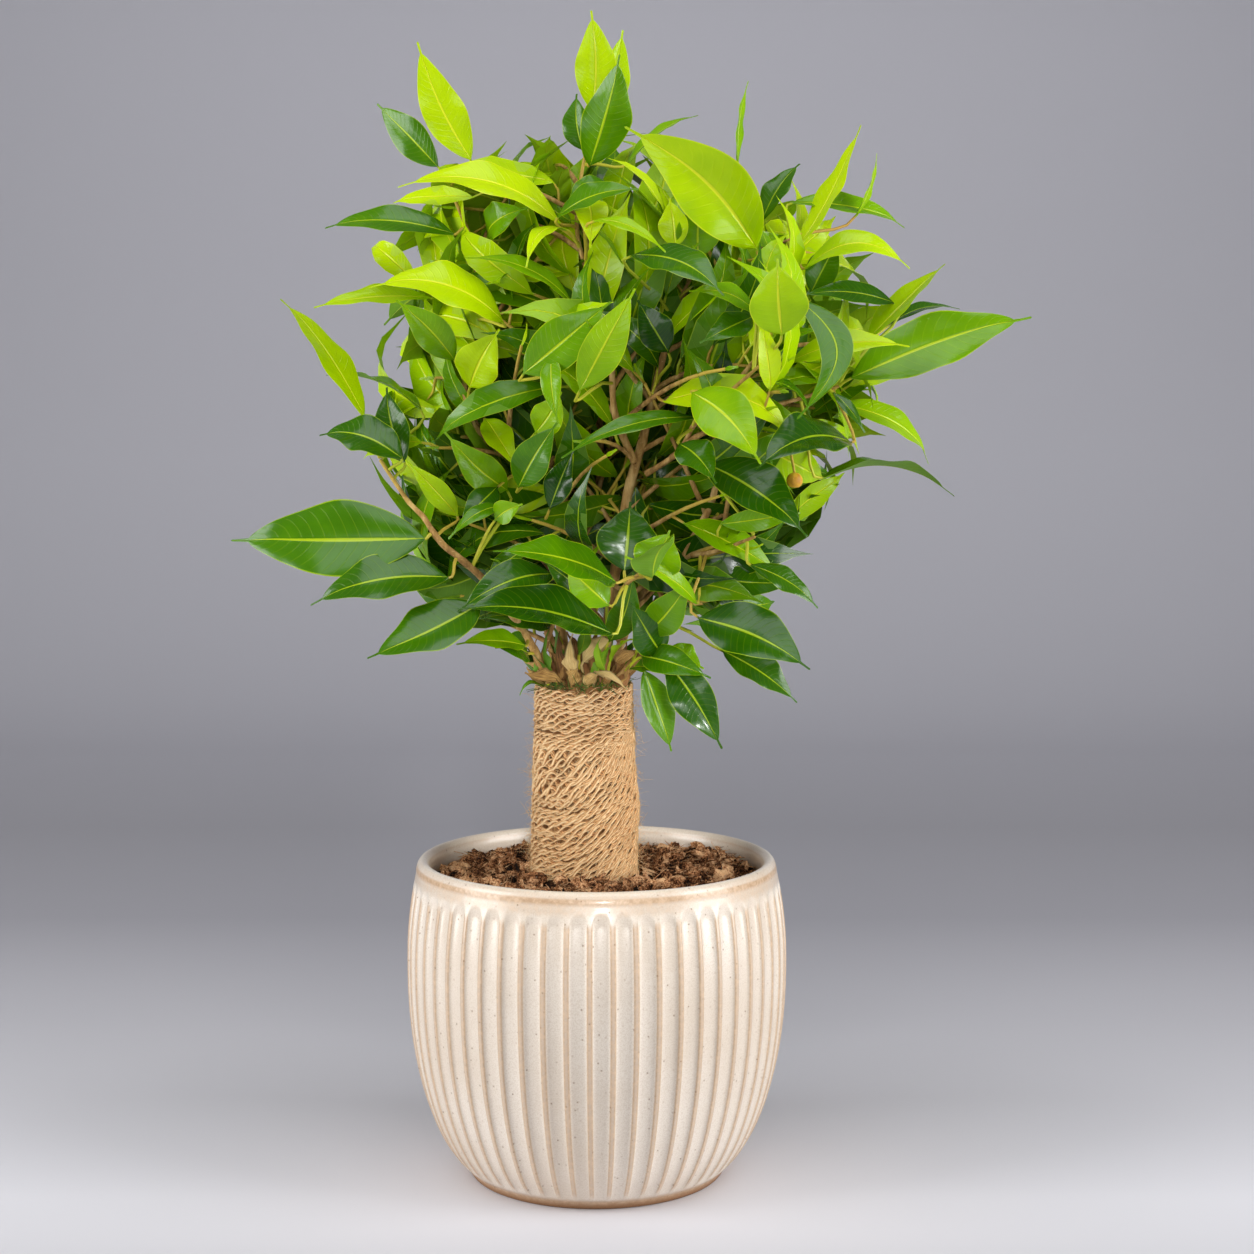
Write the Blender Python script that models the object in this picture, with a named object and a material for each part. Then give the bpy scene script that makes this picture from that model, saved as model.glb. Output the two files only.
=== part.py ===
"""A small weeping fig in a fluted stoneware pot, as separate solids. Metres, +Z up.

The origin is the centre of the pot's foot, on the surface it stands on. The front of the plant faces -Y.
The pot holds soil, the jute-wrapped trunk stands in the soil, stems grow from the trunk's cut top and
branch, and every leaf is one closed solid with its stalk. The leaf and stem tables are in millimetres.
"""

import math

import bpy
import numpy as np

MM = 0.001
GAP = 0.0003  # between pieces that touch

# Pot: turned outside, then fluted
POT_HEIGHT = 0.168
POT_WIDEST = 0.1002
POT_WIDEST_Z = 0.114
POT_FOOT = 0.068
POT_LIP_START = 0.161
POT_SHOULDER = 0.0950
POT_WALL = 0.0076
POT_FLOOR_Z = 0.009
POT_CORNER = 0.058
BELLY_LOW_R = 0.0625
BELLY_LOW_Z = 0.0015
FOOT_ROUND = 0.0016
FLUTES = 54
FLUTE_DEPTH = 0.0013
FLUTE_LOW = 0.004
FLUTE_HIGH = 0.157
FLUTE_RUN_OUT = 0.006

# Soil and trunk
SOIL_WALL_Z = 0.1525
SOIL_TOP_Z = 0.1555
SOIL_CROWN_R = 0.060
TRUNK_X = -0.0065
TRUNK_BASE_Z = 0.095
TRUNK_TOP_Z = 0.260
TRUNK_TOP_R = 0.0226
TRUNK_LOW_R = 0.0246
WRAP_THICK = 0.0034
WRAP_BOTTOM_Z = 0.149
WRAP_TOP_Z = 0.2585

# Stems and leaves
STEM_SIDES = 6
LEAF_THICK = 0.0006  # half the blade's thickness at the midrib
STALK_R = 0.0007
LEAF_FOLD = 0.16  # how far the blade's edges rise above the midrib, over its half width
FRUIT_R = 0.0041

# Which way a blade's upper face looks
UP = (0, 0, 1)
UP_FRONT = (0, -0.7, 0.75)
FRONT = (0, -1, 0.15)
FRONT_RIGHT = (0.5, -0.8, 0.2)
FRONT_LEFT = (-0.5, -0.8, 0.2)
RIGHT_UP = (0.75, -0.55, 0.45)
LEFT_UP = (-0.75, -0.55, 0.45)
UP_BACK = (0, 0.7, 0.75)
RIGHT = (1, -0.4, 0.1)

# name: (parent stem, radius at the foot, radius at the end, points along it), in millimetres
STEMS = {
    "stem_main": (None, 3.1, 0.9, [
        (2, -5, 262), (8, -8, 304), (16, -14, 357), (24, -18, 386), (30, -20, 412),
        (37, -14, 438), (46, -4, 463), (62, 8, 493), (77, 15, 522)]),
    "stem_right": (None, 2.5, 0.9, [
        (11, -8, 262), (24, -13, 279), (36, -20, 303), (45, -26, 328), (59, -30, 356),
        (62, -32, 382), (61, -32, 408), (69, -30, 422), (80, -30, 440)]),
    "stem_left": (None, 2.4, 0.9, [
        (-24, -10, 262), (-28, -14, 271), (-38, -25, 291), (-58, -40, 319), (-76, -46, 335),
        (-86, -44, 349), (-94, -42, 357), (-108, -36, 377)]),
    "stem_inner_left": (None, 2.5, 0.9, [
        (-14, 4, 262), (-21, 6, 303), (-24, 3, 338), (-29, 0, 354), (-33, -2, 369),
        (-47, -6, 382), (-62, -10, 394), (-67, -12, 418), (-61, -10, 458), (-63, -6, 486),
        (-75, 0, 516)]),
    "stem_back_left": (None, 2.3, 0.9, [
        (-20, 13, 262), (-30, 28, 300), (-42, 48, 345), (-62, 68, 390), (-78, 82, 430),
        (-88, 92, 465)]),
    "stem_back_right": (None, 2.3, 0.9, [
        (6, 13, 262), (22, 28, 300), (42, 46, 345), (68, 62, 390), (90, 76, 430),
        (104, 84, 470)]),
    "stem_back": (None, 2.4, 0.9, [
        (-6, 17, 262), (-4, 34, 320), (2, 48, 380), (-4, 56, 440), (-14, 56, 500)]),
    "branch_crown": ("stem_main", 2.0, 0.8, [
        (20, -21, 376), (12, -26, 394), (9, -29, 408), (8, -30, 429), (1, -26, 459),
        (-8, -20, 485), (-9, -14, 508), (-4, -8, 538)]),
    "branch_mid": ("stem_main", 1.5, 0.8, [
        (26, -24, 370), (42, -37, 381), (49, -47, 394), (62, -60, 407), (80, -74, 423)]),
    "branch_far_right": ("stem_right", 1.4, 0.8, [
        (68, -33, 401), (83, -34, 403), (103, -36, 408), (122, -38, 414)]),
    "branch_top_right": ("stem_main", 1.4, 0.8, [
        (52, -6, 466), (68, -9, 476), (84, -11, 484), (100, -9, 489)]),
    "branch_low_right": ("stem_right", 1.4, 0.8, [
        (49, -31, 329), (56, -36, 330), (68, -42, 334), (80, -47, 339)]),
    "branch_front": ("stem_main", 1.3, 0.8, [
        (10, -14, 312), (13, -34, 312), (16, -54, 316), (22, -70, 322)]),
}

# zone: [(stem, blade foot, tip, width, way it faces, arch), ...], in millimetres. The arch is the rise of
# the midrib over the straight line from the blade's foot to its tip, as a share of that line.
LEAVES = {
    "left": [
        ("stem_left", (-85, -49, 338), (-185, -36, 338), 38, UP_FRONT, 0.10),
        ("stem_left", (-73, -56, 319), (-141, -62, 307), 32, UP_FRONT, 0.14),
        ("stem_left", (-57, -60, 306), (-111, -80, 282), 33, UP_FRONT, 0.15),
        ("stem_left", (-97, -43, 378), (-140, -28, 390), 26, UP_FRONT, 0.15),
        ("stem_left", (-117, -30, 399), (-161, -8, 460), 27, RIGHT_UP, 0.08),
        ("stem_left", (-90, -12, 403), (-140, 2, 421), 24, UP, 0.10),
    ],
    "upper_left": [
        ("stem_inner_left", (-46, -44, 446), (-110, -60, 463), 34, UP_FRONT, 0.22),
        ("stem_inner_left", (-73, -5, 492), (-141, 10, 497), 28, UP_FRONT, 0.10),
        ("branch_crown", (-18, -27, 496), (-98, -38, 513), 32, UP_FRONT, 0.22),
        ("stem_inner_left", (-82, 9, 528), (-115, 24, 562), 28, LEFT_UP, 0.12),
        ("stem_inner_left", (-68, -4, 530), (-93, 0, 590), 30, FRONT, 0.10),
    ],
    "top": [
        ("branch_crown", (-1, -6, 554), (-2, -14, 603), 25, FRONT, 0.06),
        ("branch_crown", (5, -16, 532), (16, -28, 579), 25, FRONT_RIGHT, 0.08),
        ("stem_main", (80, -45, 482), (15, -75, 537), 40, UP_FRONT, 0.14),
        ("stem_main", (73, 2, 530), (79, 12, 572), 20, RIGHT, 0.10),
        ("branch_top_right", (102, -12, 500), (136, 8, 550), 22, LEFT_UP, 0.10),
        ("branch_top_right", (102, 6, 509), (164, 32, 500), 27, UP_FRONT, 0.16),
        ("branch_top_right", (107, -19, 474), (159, -24, 473), 28, UP_FRONT, 0.26),
    ],
    "right": [
        ("branch_far_right", (139, -18, 438), (180, 0, 478), 26, LEFT_UP, 0.10),
        ("branch_far_right", (128, -46, 418), (219, -38, 450), 38, UP_FRONT, 0.12),
        ("branch_mid", (99, -74, 455), (96, -106, 398), 28, RIGHT, 0.32),
        ("branch_far_right", (116, -30, 368), (186, -5, 359), 24, UP, 0.14),
        ("branch_far_right", (126, -4, 405), (177, 20, 375), 28, UP_FRONT, 0.25),
        ("branch_far_right", (126, -60, 386), (78, -96, 375), 32, UP_FRONT, 0.15),
        ("branch_low_right", (64, -56, 373), (104, -80, 342), 34, UP_FRONT, 0.16),
        ("branch_low_right", (78, -54, 325), (112, -52, 304), 24, UP_FRONT, 0.12),
        ("branch_low_right", (52, -58, 299), (105, -86, 277), 35, UP_FRONT, 0.16),
        ("stem_right", (66, -15, 278), (104, -20, 252), 28, UP_FRONT, 0.14),
        ("stem_right", (37, -34, 274), (64, -48, 232), 26, FRONT_RIGHT, 0.12),
        ("stem_right", (25, 2, 266), (40, 4, 223), 24, FRONT_RIGHT, 0.10),
    ],
    "front": [
        ("branch_front", (8, -66, 292), (-65, -105, 308), 34, UP_FRONT, 0.14),
        ("branch_front", (10, -72, 318), (-47, -116, 336), 36, UP_FRONT, 0.20),
        ("branch_front", (28, -88, 322), (37, -122, 341), 28, UP_FRONT, 0.12),
        ("branch_mid", (48, -76, 410), (79, -106, 377), 32, FRONT_RIGHT, 0.14),
        ("branch_crown", (-34, -68, 420), (8, -78, 454), 30, FRONT_LEFT, 0.12),
        ("branch_crown", (-6, -92, 412), (20, -100, 459), 24, FRONT_RIGHT, 0.12),
        ("stem_main", (19, -62, 477), (62, -96, 456), 28, UP_FRONT, 0.16),
        ("branch_mid", (90, -88, 438), (87, -100, 473), 28, FRONT, 0.08),
    ],
    "back": [
        ("stem_back_left", (-92, 98, 470), (-124, 134, 452), 32, UP_BACK, 0.14),
        ("stem_back_left", (-60, 82, 380), (-86, 150, 356), 34, UP_BACK, 0.14),
        ("stem_back_right", (108, 92, 474), (142, 138, 458), 32, UP_BACK, 0.14),
        ("stem_back_right", (60, 74, 372), (84, 146, 350), 34, UP_BACK, 0.14),
    ],
}
FRUIT_AT = (100, -43, 367)  # in millimetres, under the branch on the right


def unit(v):
    """v with length 1."""
    v = np.asarray(v, float)
    return v / np.linalg.norm(v)


def ease(low, high, value):
    """0 below low, 1 above high, and a smooth step between them."""
    t = np.clip((np.asarray(value, float) - low) / (high - low), 0, 1)
    return t * t * (3 - 2 * t)


def through(points, steps):
    """A smooth curve through points, with that many steps between each two (Catmull-Rom)."""
    p = np.asarray(points, float)
    p = np.vstack([2 * p[0] - p[1], p, 2 * p[-1] - p[-2]])
    t = np.linspace(0, 1, steps, endpoint=False)[:, None]
    runs = []
    for a, b, c, d in zip(p, p[1:], p[2:], p[3:]):
        bend = (2 * a - 5 * b + 4 * c - d) * t**2 + (3 * b - 3 * c + d - a) * t**3
        runs.append(b + ((c - a) * t + bend) / 2)
    return np.vstack([*runs, p[-2]])


def material(name, colour, roughness):
    """A plain Principled material."""
    made = bpy.data.materials.new(name)
    made.use_nodes = True
    shader = made.node_tree.nodes["Principled BSDF"]
    shader.inputs["Base Color"].default_value = (*colour, 1)
    shader.inputs["Roughness"].default_value = roughness
    return made


def solid(name, points, faces, finish, smooth=True):
    """One named object from points and faces."""
    mesh = bpy.data.meshes.new(name)
    mesh.from_pydata([tuple(p) for p in points], [], faces)
    mesh.materials.append(finish)
    if smooth:
        mesh.shade_smooth()
        mesh.set_sharp_from_angle(angle=math.radians(40))
    made = bpy.data.objects.new(name, mesh)
    bpy.context.scene.collection.objects.link(made)
    return made


def loft(name, rings, foot, end, finish):
    """A closed skin over rings of equal count, each closed round, ending in one point at each end."""
    rings = np.asarray(rings, float)
    count, sides = rings.shape[:2]
    points = np.vstack([rings.reshape(-1, 3), foot, end])
    first, last = count * sides, count * sides + 1
    faces = []
    top = (count - 1) * sides
    for j in range(sides):
        k = (j + 1) % sides
        faces.append((first, k, j))
        faces.append((last, top + j, top + k))
        faces += [(i + j, i + k, i + sides + k, i + sides + j) for i in range(0, top, sides)]
    return solid(name, points, faces, finish)


def turned(x, radii, heights, sides):
    """Rings round a vertical axis at x, with that radius and height for each."""
    a = np.arange(sides) * math.tau / sides
    radii = np.asarray(radii, float).reshape(len(heights), -1) * np.ones(sides)
    z = np.asarray(heights, float)[:, None] * np.ones(sides)
    return np.stack([x + radii * np.cos(a), radii * np.sin(a), z], axis=2)


def outer_radius(z):
    """The pot's outside below the lip: a short upright foot, then a belly that draws in again at its top."""
    z = np.asarray(z, float)
    below = np.clip((POT_WIDEST_Z - z) / (POT_WIDEST_Z - BELLY_LOW_Z), 0, 1)
    above = np.clip((z - POT_WIDEST_Z) / (POT_LIP_START - POT_WIDEST_Z), 0, 1)
    belly = BELLY_LOW_R + (POT_WIDEST - BELLY_LOW_R) * (1 - below**2.2) ** 0.6
    return np.maximum(belly, POT_FOOT) - (POT_WIDEST - POT_SHOULDER) * above**2.1


def inner_profile():
    """Radius and height down the pot's inner wall to the floor's corner."""
    heights = np.array([0.150, 0.112, 0.070, 0.036, 0.017])
    radii = outer_radius(heights) - POT_WALL
    return np.append(radii, POT_CORNER), np.append(heights, POT_FLOOR_Z)


def make_pot(finish):
    """The fluted pot: up the outside, over a round lip, down the inner wall to a flat floor."""
    sides = 2 * FLUTES
    belly_z = [0.0015, 0.004, 0.010, 0.020, 0.035, 0.057, 0.084, 0.114, 0.140, 0.152, FLUTE_HIGH]
    heights = np.array([*belly_z, POT_LIP_START])
    low_end = ease(FLUTE_LOW, FLUTE_LOW + FLUTE_RUN_OUT, heights)
    fade = low_end * (1 - ease(FLUTE_HIGH - FLUTE_RUN_OUT, FLUTE_HIGH, heights))
    radii = outer_radius(heights)[:, None] - FLUTE_DEPTH * fade[:, None] * (np.arange(sides) % 2)
    lip_turn = np.radians([45, 90, 135])
    half = POT_WALL / 2
    lip_r = POT_SHOULDER - half + half * np.cos(lip_turn)
    lip_z = POT_LIP_START + (POT_HEIGHT - POT_LIP_START) * np.sin(lip_turn)
    inner_r, inner_z = inner_profile()
    rings = np.vstack([
        turned(0, [POT_FOOT - FOOT_ROUND], [0], sides),
        turned(0, radii, heights, sides),
        turned(0, lip_r, lip_z, sides),
        turned(0, inner_r, inner_z, sides),
    ])
    return loft("pot", rings, (0, 0, 0), (0, 0, POT_FLOOR_Z), finish)


def trunk_radius(z):
    """The trunk widens a little towards the soil."""
    return TRUNK_TOP_R + (TRUNK_LOW_R - TRUNK_TOP_R) * (TRUNK_TOP_Z - z) / (TRUNK_TOP_Z - TRUNK_BASE_Z)


def make_soil(finish):
    """The soil fills the pot, rises a little towards the middle, and has a pit for trunk and wrap."""
    sides = 54
    inner_r, inner_z = inner_profile()
    inner_r, inner_z = inner_r[::-1] - 2 * GAP, inner_z[::-1] + GAP
    wrap_r = trunk_radius(WRAP_BOTTOM_Z) + WRAP_THICK + 4 * GAP
    pit_r = trunk_radius(TRUNK_BASE_Z) + 2 * GAP
    ledge_z = WRAP_BOTTOM_Z - GAP
    pit_z = TRUNK_BASE_Z - GAP
    rings = np.vstack([
        turned(0, inner_r, inner_z, sides),
        turned(0, [inner_r[-1]], [SOIL_WALL_Z], sides),
        turned(TRUNK_X / 2, [SOIL_CROWN_R], [SOIL_TOP_Z], sides),
        turned(TRUNK_X, [wrap_r, wrap_r, pit_r, pit_r], [SOIL_TOP_Z, ledge_z, ledge_z - GAP, pit_z], sides),
    ])
    return loft("potting_soil", rings, (0, 0, inner_z[0]), (TRUNK_X, 0, pit_z), finish)


def make_trunk(finish):
    """The short stout trunk that the stems sprout from, cut flat on top."""
    heights = np.array([TRUNK_BASE_Z, TRUNK_BASE_Z + 0.002, 0.150, 0.210, TRUNK_TOP_Z - 0.002, TRUNK_TOP_Z])
    radii = trunk_radius(heights) - np.array([0.002, 0, 0, 0, 0, 0.002])
    rings = turned(TRUNK_X, radii, heights, 24)
    return loft("trunk", rings, (TRUNK_X, 0, TRUNK_BASE_Z), (TRUNK_X, 0, TRUNK_TOP_Z), finish)


def make_wrap(finish):
    """The jute wrap: an open sleeve round the trunk, a ring of wall that closes on itself."""
    sides = 32
    heights = np.linspace(WRAP_BOTTOM_Z, WRAP_TOP_Z, 5)
    inside = trunk_radius(heights) + 2 * GAP
    rings = np.vstack([
        turned(TRUNK_X, inside + WRAP_THICK, heights, sides),
        turned(TRUNK_X, inside[::-1], heights[::-1], sides),
    ])
    faces = []
    for i in range(len(rings)):
        low, high = i * sides, (i + 1) % len(rings) * sides
        for j in range(sides):
            k = (j + 1) % sides
            faces.append((low + j, low + k, high + k, high + j))
    return solid("jute_wrap", rings.reshape(-1, 3), faces, finish)


def tube_rings(line, radii, sides):
    """Rings of that radius square to a line, turned as little as possible from one to the next."""
    ahead = np.gradient(line, axis=0)
    ahead /= np.linalg.norm(ahead, axis=1)[:, None]
    side = unit(np.cross(ahead[0], (0.3, 1, 0.2)))
    rings = []
    for middle, way, radius in zip(line, ahead, radii):
        side = unit(side - way * (side @ way))
        other = np.cross(way, side)
        a = np.arange(sides)[:, None] * math.tau / sides
        rings.append(middle + radius * (np.cos(a) * side + np.sin(a) * other))
    return np.array(rings), ahead


def stem_line(name):
    """The smooth centreline of a stem, in metres, and its radius along it."""
    _, foot, end, points = STEMS[name]
    line = through(np.array(points) * MM, 2)
    return line, np.linspace(foot, end, len(line)) * MM


def make_stem(name, finish):
    """A tapering tube with a blunt point at each end."""
    line, radii = stem_line(name)
    rings, ahead = tube_rings(line, radii, STEM_SIDES)
    foot = line[0] - ahead[0] * radii[0] * 0.15
    end = line[-1] + ahead[-1] * radii[-1]
    return loft(name, rings, foot, end, finish)


def nearest_on_stem(name, point):
    """The point of a stem's centreline nearest to a point, and the stem's radius there."""
    line, radii = stem_line(name)
    fine = through(line, 6)
    wide = np.interp(np.linspace(0, 1, len(fine)), np.linspace(0, 1, len(radii)), radii)
    best = np.argmin(np.linalg.norm(fine - point, axis=1))
    return fine[best], wide[best]


def blade_half_width(s):
    """Half width along the blade, over the widest: full below the middle, drawn out to a drip tip."""
    return np.sin(np.pi * np.clip(s, 0, 1) ** 0.82) ** 0.85 * (1 - 0.55 * ease(0.72, 1.0, s))


def make_leaf(name, stem, foot, tip, width, facing, arch, finish):
    """Stalk and blade in one solid. The blade is a thin shell folded along its arching midrib."""
    foot, tip = np.array(foot) * MM, np.array(tip) * MM
    length = np.linalg.norm(tip - foot)
    chord = (tip - foot) / length
    up = unit(np.array(facing) - chord * (np.array(facing) @ chord))
    across = np.cross(up, chord)
    s = np.array([0.06, 0.20, 0.36, 0.54, 0.71, 0.85, 0.95])
    middle = foot + np.outer(s, chord) * length + np.outer(4 * s * (1 - s) * arch * length, up)
    half = blade_half_width(s) * width * MM / 2
    edge = up * (LEAF_FOLD * half)[:, None]
    thick = up * (LEAF_THICK * (0.4 + 0.6 * blade_half_width(s)))[:, None]
    blade = np.stack([
        middle + across * half[:, None] + edge,
        middle + thick,
        middle - across * half[:, None] + edge,
        middle - thick,
    ], axis=1)
    near, radius = nearest_on_stem(stem, foot)
    out = unit(foot - near)
    start = near + out * (radius + STALK_R + GAP)
    side = across - out * (across @ out)
    side = unit(side if np.linalg.norm(side) > 0.1 else np.cross(out, up))
    other = np.cross(out, side)
    square = STALK_R * np.array([side, other, -side, -other])
    sag = np.array((0, 0, STALK_R))
    stalk = np.array([start, (start + foot) / 2 + sag, foot])[:, None] + square
    rings = np.concatenate([stalk, blade])
    return loft(name, rings, start - out * STALK_R * 0.8, tip, finish)


def make_fruit(finish):
    """One small ripe fig, round, and the stalk that it hangs by, in one solid."""
    turn = np.radians([-60, -30, 0, 30, 60])
    centre = np.array(FRUIT_AT) * MM
    near, radius = nearest_on_stem("branch_far_right", centre)
    out = unit(centre - near)
    start = near + out * (radius + STALK_R + GAP)
    pole = np.array((0, 0, FRUIT_R))
    ball = turned(0, FRUIT_R * np.cos(turn), FRUIT_R * np.sin(turn), 10) + centre
    path = np.array([centre + pole, (centre + pole + start) / 2, start])
    stalk = turned(0, [STALK_R], [0], 10) + path[:, None]
    rings = np.concatenate([ball, stalk])
    return loft("fig_fruit", rings, centre - pole, start - out * STALK_R * 0.8, finish)


def main():
    """Every piece of the plant and its pot."""
    for old in list(bpy.data.objects):
        bpy.data.objects.remove(old, do_unlink=True)
    make_pot(material("cream_speckled_glaze", (0.80, 0.73, 0.62), 0.35))
    make_soil(material("dark_peat", (0.09, 0.05, 0.035), 0.95))
    make_trunk(material("old_bark", (0.32, 0.22, 0.13), 0.85))
    make_wrap(material("jute", (0.60, 0.42, 0.22), 0.9))
    bark = material("stem_bark", (0.40, 0.27, 0.13), 0.75)
    for name in STEMS:
        make_stem(name, bark)
    green = material("leaf_green", (0.12, 0.36, 0.02), 0.35)
    for zone, leaves in LEAVES.items():
        for number, (stem, foot, tip, width, facing, arch) in enumerate(leaves, 1):
            make_leaf(f"leaf_{zone}_{number}", stem, foot, tip, width, facing, arch, green)
    make_fruit(material("fig_skin", (0.62, 0.45, 0.06), 0.5))


main()
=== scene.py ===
"""A small weeping fig in a fluted stoneware pot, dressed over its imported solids. Metres, +Z up, front towards -Y.

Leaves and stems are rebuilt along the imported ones, whose lines are read from their meshes. Smaller leaves,
twigs and the foliage inside and behind the crown are added on those stems. The pot, the soil and the jute
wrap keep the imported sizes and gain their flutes, crumbs and yarns.
"""

import math

import bmesh
import bpy
import numpy as np
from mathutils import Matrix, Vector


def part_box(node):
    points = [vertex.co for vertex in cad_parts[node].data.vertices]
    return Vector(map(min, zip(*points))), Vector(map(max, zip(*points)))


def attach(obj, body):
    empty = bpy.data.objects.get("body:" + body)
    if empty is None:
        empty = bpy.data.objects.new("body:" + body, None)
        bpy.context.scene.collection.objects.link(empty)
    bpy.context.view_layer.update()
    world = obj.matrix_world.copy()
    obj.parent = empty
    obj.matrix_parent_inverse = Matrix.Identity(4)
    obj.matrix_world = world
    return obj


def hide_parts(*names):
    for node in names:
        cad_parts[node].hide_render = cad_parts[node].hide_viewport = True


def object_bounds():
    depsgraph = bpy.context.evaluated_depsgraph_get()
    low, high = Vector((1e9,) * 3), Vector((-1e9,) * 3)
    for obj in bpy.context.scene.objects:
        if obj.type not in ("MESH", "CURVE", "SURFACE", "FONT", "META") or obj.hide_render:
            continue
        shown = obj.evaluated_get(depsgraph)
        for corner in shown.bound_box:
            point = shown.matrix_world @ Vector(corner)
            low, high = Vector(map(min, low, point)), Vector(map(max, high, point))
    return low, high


MM = 0.001
TURN = 2 * math.pi
EYE = (0.0161, -1.158, 0.396)  # where the camera stands

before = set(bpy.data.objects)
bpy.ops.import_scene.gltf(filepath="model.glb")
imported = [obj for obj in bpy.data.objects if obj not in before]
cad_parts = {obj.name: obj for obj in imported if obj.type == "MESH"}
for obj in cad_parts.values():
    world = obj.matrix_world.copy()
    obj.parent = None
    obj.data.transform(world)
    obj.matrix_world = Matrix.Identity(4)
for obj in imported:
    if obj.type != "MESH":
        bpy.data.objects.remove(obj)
cad_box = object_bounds()


# ---------------------------------------------------------------- numbers and curves


def unit(v):
    """v with length 1 along its last axis."""
    v = np.asarray(v, float)
    return v / np.maximum(np.linalg.norm(v, axis=-1, keepdims=True), 1e-12)


def ease(low, high, value):
    """0 below low, 1 above high, and t*t*(3 - 2*t) between them."""
    t = np.clip((np.asarray(value, float) - low) / (high - low), 0, 1)
    return t * t * (3 - 2 * t)


def lattice_noise(points, size, seed=0):
    """Smooth noise from -1 to 1: a fixed random number at each corner of a cubic lattice of that size,
    blended between the corners by t*t*(3 - 2*t)."""
    scaled = np.asarray(points, float) / size + 41.0
    cell = np.floor(scaled).astype(np.int64)
    t = scaled - cell
    t = t * t * (3 - 2 * t)
    total = np.zeros(t.shape[:-1])
    for corner in np.ndindex(2, 2, 2):
        mixed = (cell + corner) @ np.array([73856093, 19349663, 83492791]) + seed * 374761393
        mixed = (mixed ^ (mixed >> 13)) * 1274126177 % 4294967296
        value = (mixed ^ (mixed >> 16)) % 65536 / 32767.5 - 1
        total += value * np.prod(np.where(corner, t, 1 - t), axis=-1)
    return total


def through(points, steps):
    """A smooth line through points, with that many steps between each two (Catmull-Rom)."""
    p = np.asarray(points, float)
    p = np.vstack([2 * p[0] - p[1], p, 2 * p[-1] - p[-2]])
    a, b, c, d = (p[i:len(p) - 3 + i, None] for i in range(4))
    t = np.linspace(0, 1, steps, endpoint=False)[:, None]
    runs = b + ((c - a) * t + (2 * a - 5 * b + 4 * c - d) * t**2 + (3 * b - 3 * c + d - a) * t**3) / 2
    return np.vstack([runs.reshape(-1, p.shape[1]), p[-2]])


def at_share(line, share):
    """The points of a line at those shares of its length, and its direction there."""
    steps = np.linalg.norm(np.diff(line, axis=0), axis=1)
    length = np.append(0, np.cumsum(steps))
    where = np.clip(np.asarray(share, float), 0, 1) * length[-1]
    found = np.stack([np.interp(where, length, line[:, i]) for i in range(3)], axis=-1)
    ahead = np.gradient(line, axis=0)
    way = np.stack([np.interp(where, length, ahead[:, i]) for i in range(3)], axis=-1)
    return found, unit(way)


def angles(count):
    """That many even steps round a turn."""
    return np.arange(count) * TURN / count


def around(middle, r, a, z):
    """Points at radius r and angle a round an upright axis at x = middle, and at height z."""
    return np.stack(np.broadcast_arrays(middle + r * np.cos(a), r * np.sin(a), z), axis=-1)


def square_to(ahead, outward):
    """Two directions square to a line: the one nearest to outward, and the one beside it."""
    beside = unit(np.cross(ahead, outward))
    return np.cross(beside, ahead), beside


def rings_round(line, reach, sides, side, other):
    """Rings of points round a line, each at its reach from it: side times cos a plus other times sin a."""
    a = angles(sides)
    circle = np.cos(a)[:, None] * side[..., None, :] + np.sin(a)[:, None] * other[..., None, :]
    return line[..., None, :] + reach[..., None] * circle


# ---------------------------------------------------------------- meshes


def in_scene(name, data):
    """A new object that shows a mesh, a lamp or a camera."""
    made = bpy.data.objects.new(name, data)
    bpy.context.scene.collection.objects.link(made)
    return made


def piece(name, shape, finish, slot, stands_for=(), uv=None, crease=None, **fields):
    """One piece from a shape, which is points, then groups of triangles or quads. It is kept inside the packed
    size and rides on the plant. fields are numbers for each point, for each face or for all of it, which the
    finish reads as attributes."""
    points, *groups = shape
    points = np.clip(np.asarray(points, np.float32).reshape(-1, 3), *cad_box)
    groups = [np.asarray(group, np.int32).reshape(-1, group.shape[-1]) for group in groups]
    corners = np.concatenate([group.ravel() for group in groups])
    sizes = np.concatenate([np.full(len(group), group.shape[1]) for group in groups])
    mesh = bpy.data.meshes.new(name)
    mesh.vertices.add(len(points))
    mesh.vertices.foreach_set("co", points.ravel())
    mesh.loops.add(len(corners))
    mesh.loops.foreach_set("vertex_index", corners)
    mesh.polygons.add(len(sizes))
    mesh.polygons.foreach_set("loop_start", (np.cumsum(sizes) - sizes).astype(np.int32))
    mesh.update(calc_edges=True)
    if uv is not None:
        layer = mesh.uv_layers.new(name="UVMap")
        layer.uv.foreach_set("vector", np.asarray(uv, np.float32)[corners].ravel())
    for key, values in fields.items():
        values = values if np.ndim(values) else np.full(len(points), values)
        domain = "POINT" if len(values) == len(points) else "FACE"
        made = mesh.attributes.new(key, "FLOAT", domain)
        made.data.foreach_set("value", np.asarray(values, np.float32).ravel())
    mesh.shade_smooth()
    if crease:
        mesh.set_sharp_from_angle(angle=math.radians(crease))
    mesh.materials.append(finish.material)
    made = in_scene(name, mesh)
    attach(made, "root")
    if stands_for:
        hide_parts(*stands_for)


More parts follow.
